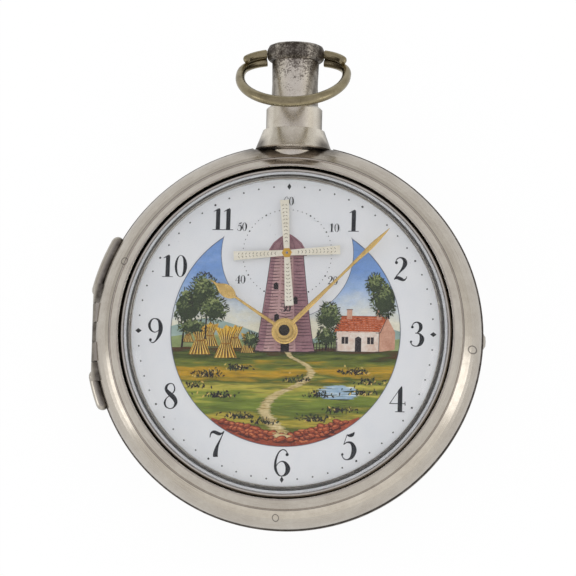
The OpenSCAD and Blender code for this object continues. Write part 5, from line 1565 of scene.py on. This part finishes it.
    def bank(self) -> None:
        """Paints the red-brown bank of earth at the foot."""
        earth = PaintFinish("paint_earth", "b85a38", "7c3324", 1000.0, stretch=(0.6, 1.0, 1.0)).build()
        lit = PaintFinish("paint_earth_lit", "df8a58", "c06a40", 1200.0).build()
        dark = PaintFinish("paint_earth_dark", "6e3226", "3c1a16", 1400.0, stretch=(0.5, 1.0, 1.0)).build()
        layer = self.layer("picture_bank", 0.044, [earth, dark, self.leaf_dark, lit])
        line = (
            (-10.4, -12.6), (-8.0, -13.3), (-5.2, -13.9), (-2.4, -14.8), (0.6, -15.2),
            (3.6, -14.6), (6.4, -13.6), (9.0, -12.9), (11.0, -12.2),
        )
        crest = smooth(line, 4)
        layer.shape([*crest, (line[-1][0], -self.reach), (line[0][0], -self.reach)], 0)
        for _ in range(90):
            x = self.vary(-9.0, 9.0)
            y = self.vary(-16.3, -13.6 - 1.2 * math.exp(-((x / 4) ** 2)))
            if self.inside(x, y, 0.4):
                size, turn = (self.vary(0.35, 1.1), self.vary(0.10, 0.26)), self.vary(-18, 18)
                layer.spot(x, y, *size, turn, finish=self.luck.choice((0, 1, 1, 3)), sides=9)
        for down in (0.0, 0.6, 1.15):
            for x, y in crest[2:-2]:
                x, y = x + self.vary(-0.2, 0.2), y - down + self.vary(-0.12, 0.2)
                size = self.vary(0.45, 0.85)
                if self.inside(x, y, size + 0.15):
                    turn = self.vary(-25, 25)
                    layer.spot(x, y, size, size * 0.62, turn, finish=1, sides=14)
                    layer.spot(
                        x - size * 0.06, y + size * 0.12, size * 0.8, size * 0.42, turn, finish=0, sides=12
                    )
                    layer.spot(
                        x - size * 0.2, y + size * 0.24, size * 0.38, size * 0.14, turn, finish=3, sides=10
                    )
        layer.finish_layer()

    def tufts(self) -> None:
        """Paints grass, reeds and small flowers with quick upward strokes."""
        flower = PaintFinish("paint_flower", "e8d878", "d09a50", 2400.0).build()
        layer = self.layer("picture_grass", 0.053, [self.leaf_dark, self.ink, flower])
        groups = (
            (-11.2, -6.6, 12), (-6.6, -5.6, 12), (-13.2, -8.2, 8), (-9.4, -9.6, 14), (-6.6, -12.6, 12),
            (4.6, -12.9, 14), (10.2, -6.0, 12), (12.6, -7.4, 8), (4.9, -9.4, 8), (11.3, -9.0, 9),
            (1.6, -7.2, 6), (-2.6, -13.4, 9), (8.0, -11.6, 10),
        )
        for x, y, blades in groups:
            for _ in range(blades):
                px, py = x + self.vary(-1.5, 1.5), y + self.vary(-0.28, 0.28)
                tall, lean = self.vary(0.35, 1.0), self.vary(-0.35, 0.35)
                if self.inside(px + lean, py, 0.7):
                    bend, tip = (px + lean * 0.5, py + tall * 0.6, 0.08), (px + lean, py + tall, 0.02)
                    layer.ribbon([(px, py, 0.1), bend, tip], 1 if self.luck.random() < 0.4 else 0)
            for _ in range(blades * 5):
                px, py = x + self.luck.gauss(0.0, 1.2), y + abs(self.luck.gauss(0.1, 0.38))
                if self.inside(px, py, 0.4):
                    size, turn = (self.vary(0.14, 0.28), self.vary(0.07, 0.11)), self.vary(20, 160)
                    layer.spot(px, py, *size, turn, finish=self.luck.choice((0, 0, 0, 1, 1, 1, 1, 2)), sides=8)
        for _ in range(40):
            px, py = self.vary(-13.5, 13.5), self.vary(-12.6, -3.6)
            long = self.vary(0.7, 2.4)
            if self.inside(abs(px) + long, py, 0.3):
                stroke = [(px - long, py, 0.015), (px, py + 0.04, 0.055), (px + long, py - 0.03, 0.015)]
                layer.ribbon(stroke, self.luck.choice((0, 1)))
        layer.finish_layer()


@dataclass
class GiltHand:
    """One gilt hand: a boss with a turned rim, and a blade that is raised along its middle."""

    node: str
    body: str
    turn: float
    low_z: float
    boss: tuple[Point, ...]
    blade: tuple[Point, ...]
    thickness: float = 0.25
    crown: tuple[Point, ...] = (
        (-1.0, 0.4), (-0.75, 0.78), (-0.35, 0.96), (0.0, 1.0), (0.35, 0.96), (0.75, 0.78), (1.0, 0.4)
    )

    def build(self, metal: Material) -> None:
        """Builds the hand in its finish."""
        made = bmesh.new()
        self.add_blade(made)
        turned(made, [(r, self.low_z + z) for r, z in self.boss])
        bmesh.ops.remove_doubles(made, verts=made.verts, dist=1e-4)
        bmesh.ops.recalc_face_normals(made, faces=made.faces)
        finish_piece(
            made, f"{self.node}_gilt", self.body, [metal], smooth_under=35.0,
            stands_for=[self.node]
        )

    def add_blade(self, made: BMesh) -> None:
        """Adds the blade, whose top is crowned and whose underside is flat.

        Args:
            made: The mesh that gets it.
        """
        way = Vector((math.cos(math.radians(self.turn)), math.sin(math.radians(self.turn)), 0))
        left = Vector((-way.y, way.x, 0))
        row: list[BMVert] = []
        for out, half in smooth(self.blade, 4):
            places = [
                way * out + left * (half * u) + Vector((0, 0, self.low_z + self.thickness * k)) for u,
                k in self.crown
            ]
            if row:
                row = grow(made, row, places)
                continue
            row = [made.verts.new(place) for place in places]
            for pair in zip(row, row[1:]):
                made.edges.new(pair)
        grown = bmesh.ops.extrude_face_region(made, geom=list(made.faces), use_keep_orig=True)["geom"]
        for part in grown:
            if isinstance(part, BMVert):
                part.co.z = self.low_z


@dataclass
class Hands:
    """The gilt hour and minute hands, the pin that holds them, and the sails that show the seconds."""

    edge: float = 0.06
    seconds_y: float = 11.5
    collet_r: float = 0.78
    sail_top_z: float = 18.36
    least_apart: float = 0.02
    most_apart: float = 0.3
    stamps: int = 11
    stamp_first: float = 1.7
    stamp_step: float = 0.53
    stamp_aside: float = 0.1
    stamp_spread: float = 0.015
    stamp_turn: float = 0.6
    stamp_wide: float = 0.05
    stamp_long: float = 0.17
    stamp_sunk: float = 0.008
    hour: GiltHand = field(default_factory=lambda: GiltHand(
        "hour_hand", "hour", 146.3, 18.65,
        (
            (0.95, 0.0), (0.95, 0.23), (1.2, 0.25), (1.6, 0.25), (1.82, 0.2), (1.9, 0.12), (1.9, 0.04),
            (1.86, 0.0)
        ),
        (
            (1.5, 0.27), (4.5, 0.22), (8.3, 0.17), (8.75, 0.20), (9.2, 0.56), (9.8, 0.84), (10.4, 0.92),
            (11.0, 0.80), (11.6, 0.46), (12.1, 0.22), (12.8, 0.11), (13.6, 0.02)
        ),
    ))
    minute: GiltHand = field(default_factory=lambda: GiltHand(
        "minute_hand", "centre", 45.39, 19.2,
        (
            (0.6, 0.0), (0.6, 0.25), (0.86, 0.25), (0.98, 0.2), (1.2, 0.2), (1.42, 0.36), (1.56, 0.4),
            (1.67, 0.34), (1.7, 0.22), (1.7, 0.04), (1.66, 0.0)
        ),
        (
            (1.4, 0.30), (3.0, 0.34), (6.0, 0.31), (9.0, 0.23), (12.2, 0.18), (14.5, 0.25), (17.0, 0.34),
            (18.2, 0.33), (19.8, 0.2), (21.2, 0.02)
        ),
    ))

    def build(self, metals: dict[str, Material]) -> None:
        """Builds the hands.

        Args:
            metals: The palette's materials by name.
        """
        self.hour.build(metals["hand_gilt"])
        self.minute.build(metals["hand_gilt"])
        pin = copy_of("hand_pin")
        self.ease(pin)
        finish_piece(
            pin, "hand_pin_head", "centre", [metals["dark_steel"]], scale=1.0, smooth_under=30.0,
            stands_for=["hand_pin"]
        )
        self.sails(metals)

    def sails(self, metals: dict[str, Material]) -> None:
        """Builds the four sails with their stamped marks and the brass collet at their middle.

        Args:
            metals: The palette's materials by name.
        """
        made = copy_of("sails")
        self.ease(made)
        for face in made.faces:
            middle = face.calc_center_median()
            near = math.hypot(middle.x, middle.y - self.seconds_y * MM) < self.collet_r * MM
            face.material_index = 1 if near and middle.z > self.sail_top_z * MM else 0
        first_turn = self.sail_turn(made)
        for quarter in range(4):
            self.stamp(made, first_turn + quarter * WHOLE_TURN / 4)
        finish_piece(
            made, "sails_finished", "contrate",
            [metals["sail_silver"], metals["gilt_brass"], metals["sail_mark"]], scale=1.0, smooth_under=30.0,
            stands_for=["sails"]
        )

    def sail_turn(self, made: BMesh) -> float:
        """Finds the direction of one sail, midway between the two corners of its tip.

        Args:
            made: The sails in metres.

        Returns:
            The direction in radians.
        """
        places = {(v.co.x, v.co.y - self.seconds_y * MM) for v in made.verts}
        outermost = sorted(places, key=lambda p: -math.hypot(*p))
        turns = [math.atan2(y, x) for x, y in outermost]
        apart = (math.remainder(turn - turns[0], WHOLE_TURN) for turn in turns)
        return turns[0] + next(step for step in apart if self.least_apart < abs(step) < self.most_apart) / 2

    def stamp(self, made: BMesh, turn: float) -> None:
        """Strikes a row of small crescent marks along one sail.

        Args:
            made: The sails in metres.
            turn: The sail's direction in radians.
        """
        middle = Matrix.Translation((0, self.seconds_y, self.sail_top_z - self.stamp_sunk))
        sail = Matrix.Diagonal((MM, MM, MM, 1.0)) @ middle @ Matrix.Rotation(turn, 4, "Z")
        size = Matrix.Diagonal((self.stamp_wide, self.stamp_long, 1.0, 1.0))
        for k in range(self.stamps):
            out, aside = self.stamp_first + k * self.stamp_step, self.stamp_aside + self.stamp_spread * k
            for side in (-1, 1):
                place = Matrix.Translation((out, side * aside, 0)) @ Matrix.Rotation(
                    side * self.stamp_turn, 4, "Z"
                )
                struck = bmesh.ops.create_circle(
                    made, cap_ends=True, radius=1.0, segments=8, matrix=sail @ place @ size
                )
                for face in {f for v in struck["verts"] for f in v.link_faces}:
                    face.material_index = 2

    def ease(self, made: BMesh) -> None:
        """Rounds the sharp upper edges of a flat piece, whose mesh is in metres."""
        made.normal_update()
        sharp = [
            e for e in made.edges
            if len(e.link_faces) == 2 and e.calc_face_angle() > math.radians(50) and max(
                f.normal.z for f in e.link_faces
            ) > 0.9
        ]
        bmesh.ops.bevel(
            made, geom=sharp, offset=self.edge * MM, offset_type="OFFSET", affect="EDGES",
            segments=3, profile=0.5, clamp_overlap=True, material=-1,
        )


@dataclass
class StirrupBow:
    """The bow: a round wire bent to a stirrup, with two short ears that turn on the pin.

    In its own plane U runs across the pendant and V from the pin to the foot of the stirrup. W is
    square to both.
    """

    pivot: Triple = (0.0, 42.15, 12.2)
    lean: float = 125.5
    wire_r: float = 0.66
    foot_r: float = 0.78
    half_width: float = 7.78
    widest_v: float = 5.0
    rise: float = 5.1
    drop: float = 8.84
    squareness: float = 2.7
    end_u: float = 4.3
    ear_u: float = 7.0
    ear_step: float = 1.3
    ring_steps: int = 96
    ear_steps: int = 15
    ear_lift: float = 0.12
    ear_tip: tuple[float, ...] = (1.0, 0.97, 0.86, 0.62, 0.3)
    tip_step: float = 0.14

    def build(self, metal: Material) -> None:
        """Builds the bow in its finish."""
        made = bmesh.new()
        start, stop = self.angle_at(self.end_u), self.angle_at(self.ear_u)
        ring = [start + (math.pi - 2 * start) * k / self.ring_steps for k in range(self.ring_steps + 1)]
        swell = self.foot_r - self.wire_r
        stations = [(self.place(a, self.ear_step), self.wire_r + swell * max(math.sin(a), 0.0)) for a in ring]
        wire(made, stations, self.square())
        for mirrored in (False, True):
            wire(made, self.ear(start, stop, mirrored), self.square())
        bmesh.ops.remove_doubles(made, verts=made.verts, dist=1e-5)
        bmesh.ops.recalc_face_normals(made, faces=made.faces)
        finish_piece(made, "bow_stirrup", "bow", [metal], smooth_under=50.0, stands_for=["bow"])

    def ear(self, start: float, stop: float, mirrored: bool) -> list[tuple[Vector, float]]:
        """Gives the stations of an ear, which lies beside the wire's end and has a rounded tip.

        Args:
            start: Angle of its foot.
            stop: Angle of its tip.
            mirrored: Whether it stands at the left.

        Returns:
            Middle and radius of each station.
        """
        made = []
        last = self.ear_steps - 1
        for k in range(self.ear_steps + len(self.ear_tip) - 1):
            share, past = min(k / self.ear_steps, 1.0), max(k - last, 0)
            a = start + (stop - start) * share
            a = math.pi - a if mirrored else a
            ahead = (self.place(a + (-0.01 if mirrored else 0.01), 0.0) - self.place(a, 0.0)).normalized()
            middle = self.place(a, self.ear_lift * share) + ahead * (self.tip_step * past)
            made.append((middle, self.wire_r * self.ear_tip[past]))
        return made

    def angle_at(self, u: float) -> float:
        """Returns the angle, above the widest line, at which the curve is this far from its middle."""
        return -math.acos((u / self.half_width) ** (self.squareness / 2))

    def square(self) -> Vector:
        """Returns the direction square to the bow's plane."""
        return Matrix.Rotation(math.radians(self.lean), 3, "X") @ Vector((0, 0, 1))

    def place(self, angle: float, w: float) -> Vector:
        """Gives a place on the stirrup's curve.

        Args:
            angle: Angle round the curve, from its widest place at the right towards its foot.
            w: Distance from the plane of the pin.

        Returns:
            The place on the watch.
        """
        power = 2 / self.squareness if math.sin(angle) < 0 else 1.0
        tall = self.rise if math.sin(angle) < 0 else self.drop
        u = math.copysign(abs(math.cos(angle)) ** power, math.cos(angle)) * self.half_width
        v = self.widest_v + math.copysign(abs(math.sin(angle)) ** power, math.sin(angle)) * tall
        return Matrix.Rotation(math.radians(self.lean), 3, "X") @ Vector((u, v, w)) + Vector(self.pivot)


@dataclass
class Crystal:
    """The high domed glass, turned from its section."""

    radius: float = 23.6
    low_z: float = 17.2
    top_z: float = 23.5
    thickness: float = 1.0
    power: float = 2.6
    steps: int = 160

    def build(self, glass: Material) -> Object:
        """Builds the glass.

        Args:
            glass: Its material.

        Returns:
            The piece.
        """
        made = bmesh.new()
        outside = self.curve(self.radius, self.top_z)
        inside = self.curve(self.radius - self.thickness, self.top_z - self.thickness)
        turned(made, [*outside, *reversed(inside)], self.steps)
        bmesh.ops.remove_doubles(made, verts=made.verts, dist=1e-4)
        bmesh.ops.delete(made, geom=[e for e in made.edges if not e.link_faces], context="EDGES")
        bmesh.ops.recalc_face_normals(made, faces=made.faces)
        return finish_piece(
            made, "crystal_dome", "inner_bezel", [glass], stands_for=["crystal"]
        )

    def curve(self, radius: float, top: float, parts: int = 40) -> list[Point]:
        """Gives the dome's curve from its foot to its crown."""
        made = []
        for i in range(parts + 1):
            a = math.pi / 2 * i / parts
            share = max(math.cos(a), 0.0) ** (2 / self.power) if i < parts else 0.0
            made.append((radius * share, self.low_z + (top - self.low_z) * math.sin(a) ** (2 / self.power)))
        return made


@dataclass
class Metalwork:
    """The cases, pendant and movement, whose shapes stay as the CAD part has them."""

    nodes: ClassVar[dict[str, str]] = {
        "case_silver": "outer_bezel",
        "case_back": "outer_back push_button",
        "inner_silver": "inner_back catch_spring regulator_disc",
        "rim_silver": "inner_bezel",
        "hinge_silver": "outer_hinge_pin inner_hinge_pin bow_pin",
        "pendant_silver": "pendant",
        "gilt_brass": "dial_plate pillar_plate top_plate pillars balance_cock regulator_rack barrel "
        "barrel_lid potence counter_potence",
        "wheel_brass": "fusee great_wheel centre_wheel third_wheel contrate_wheel crown_wheel minute_wheel "
        "hour_wheel balance_wheel regulator_slide",
        "blued_steel": "cock_screw balance_spring mainspring pillar_pins movement_joint_pin",
        "steel": "latch_bolt barrel_arbor chain_coil chain_run fusee_arbor centre_arbor third_arbor "
        "contrate_arbor crown_arbor verge_staff spring_stud cannon_pinion minute_post setup_ratchet",
    }

    def build(self, metals: dict[str, Material]) -> None:
        """Dresses the CAD nodes.

        Args:
            metals: The palette's materials by name.
        """
        for name, nodes in self.nodes.items():
            dress(metals[name], nodes.split())


@dataclass
class Studio:
    """The pale floor, the soft lamps, the sky and the camera."""

    lean_south: float = 8.5
    lean_east: float = 5.0
    roll: float = 1.5
    distance: float = 0.9
    view_width: float = 83.7
    aim: Triple = (0.15, 6.6, 16.9)
    gloss_ground: float = 0.85
    gloss_low: float = 0.76
    gloss_above: float = 0.60
    under_glass: float = 0.25
    gloss_east: float = 0.10
    gloss_south: float = 0.22
    soft_level: float = 1.12
    warm: Colour = (1.0, 0.985, 0.95)
    cool: Colour = (0.97, 0.95, 1.0)
    floor_colour: Colour = (0.93, 0.93, 0.93)
    floor_half: float = 2.0
    floor_rough: float = 0.9
    floor_dimmed: float = 0.28
    floor_seen: float = 0.95
    floor_mirrored: float = 0.85
    horizon_top: float = 0.34
    overhead_from: float = 0.45
    overhead_to: float = 0.92
    lamp_size: float = 0.4
    lamp_watts: float = 0.6
    lamps: tuple[tuple[str, Triple], ...] = (
        ("west_box", (-0.95, -0.20, 0.20)),
        ("east_box", (0.95, -0.16, 0.20)),
    )

    def build(self) -> None:
        """Builds the whole set."""
        bpy.context.scene.view_settings.view_transform = "Standard"
        self.floor()
        self.sky()
        for name, place in self.lamps:
            self.lamp(name, place)
        self.camera()

    def floor(self) -> None:
        """Builds the floor, which shows white and keeps a faint shadow."""
        made = bmesh.new()
        bmesh.ops.create_grid(made, x_segments=1, y_segments=1, size=self.floor_half)
        mesh = bpy.data.meshes.new("floor")
        made.to_mesh(mesh)
        made.free()
        floor = bpy.data.objects.new("floor", mesh)
        bpy.context.scene.collection.objects.link(floor)
        floor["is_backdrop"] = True
        material, board, shader, _ = new_material("floor_paper", self.floor_colour)
        shader.inputs["Base Color"].default_value = (*self.floor_colour, 1.0)
        shader.inputs["Roughness"].default_value = self.floor_rough
        shader.inputs["Specular IOR Level"].default_value = 0.0
        path = board.node("ShaderNodeLightPath").outputs
        level = board.less(1.0, board.times(path["Is Glossy Ray"], self.floor_dimmed))
        glow = board.node("ShaderNodeEmission", {"Color": (1.0, 1.0, 1.0), "Strength": level})
        clear = board.most(path["Is Camera Ray"], path["Is Transmission Ray"])
        mirrored = board.times(path["Is Glossy Ray"], self.floor_mirrored)
        share = board.most(board.times(clear, self.floor_seen), mirrored)
        board.show(board.mix_shaders(share, shader, glow))
        mesh.materials.append(material)

    def sky(self) -> None:
        """Builds the world: a plain soft light, white where it is seen."""
        world = bpy.data.worlds.new("studio")
        bpy.context.scene.world = world
        world.use_nodes = True
        board = Board(world.node_tree)
        way = board.node("ShaderNodeTexCoord").outputs["Generated"]
        x, y, z = board.split(way)
        side = board.plus(board.times(x, self.gloss_east), board.times(y, -self.gloss_south))
        low = board.times(
            board.plus(self.gloss_low, side), board.span(z, 0.0, self.horizon_top, self.gloss_ground, 1.0)
        )
        level = board.span(z, self.overhead_from, self.overhead_to, low, self.gloss_above)
        tint = board.blend(board.span(z, 0.3, 0.9), self.warm, self.cool)
        path = board.node("ShaderNodeLightPath").outputs
        soft = board.node("ShaderNodeBackground", {"Color": (0.985, 0.99, 1.0), "Strength": self.soft_level})
        lift = board.plus(board.times(path["Is Transmission Ray"], self.under_glass), 1.0)
        gloss = board.node("ShaderNodeBackground", {"Color": tint, "Strength": board.times(level, lift)})
        white = board.node("ShaderNodeBackground", {"Color": (1.0, 1.0, 1.0), "Strength": 1.0})
        mirrored = board.most(path["Is Glossy Ray"], path["Is Transmission Ray"])
        lit = board.mix_shaders(mirrored, soft, gloss)
        board.show(board.mix_shaders(path["Is Camera Ray"], lit, white))

    def lamp(self, name: str, place: Triple) -> None:
        """Adds a square soft lamp that points at the watch.

        Args:
            name: The lamp's name.
            place: Where it stands, in metres.
        """
        data = bpy.data.lights.new(name, "AREA")
        data.shape, data.size, data.energy = "SQUARE", self.lamp_size, self.lamp_watts
        lamp = bpy.data.objects.new(name, data)
        lamp.location = place
        lamp.rotation_mode = "QUATERNION"
        lamp.rotation_quaternion = (Vector((0, 0, 0.01)) - Vector(place)).to_track_quat("-Z", "Y")
        bpy.context.scene.collection.objects.link(lamp)

    def camera(self) -> None:
        """Places the camera nearly straight above the dial, as the photograph was taken."""
        data = bpy.data.cameras.new("camera")
        data.sensor_width = 36.0
        data.lens = data.sensor_width * self.distance / (self.view_width * MM)
        data.clip_start, data.clip_end = 0.05, 20.0
        camera = bpy.data.objects.new("camera", data)
        south, east = math.radians(self.lean_south), math.radians(self.lean_east)
        back = Vector((math.sin(east), -math.sin(south), 1.0))
        back.z = math.sqrt(1 - back.x**2 - back.y**2)
        across = Vector((0, 1, 0)).cross(back).normalized()
        up = back.cross(across)
        turn = Matrix.Rotation(math.radians(self.roll), 3, back)
        across, up = turn @ across, turn @ up
        basis = Matrix((across, up, back)).transposed()
        camera.matrix_world = Matrix.Translation(Vector(self.aim) * MM + back * self.distance) @ basis.to_4x4()
        bpy.context.scene.collection.objects.link(camera)
        bpy.context.scene.camera = camera


def corners() -> list[list[float]]:
    """Returns the shown object's lowest and highest corner as plain numbers."""
    return [list(corner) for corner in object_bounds()]


def main() -> None:
    """Builds the looks of the whole watch."""
    logging.basicConfig(level=logging.INFO, format="%(message)s")
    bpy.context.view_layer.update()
    metals = {finish.name: finish.build() for finish in METALS}
    Metalwork().build(metals)
    EnamelDial().build()
    Hands().build(metals)
    StirrupBow().build(metals["bow_metal"])
    Crystal().build(CrystalFinish().build())
    Studio().build()


if __name__ == "__main__":
    main()
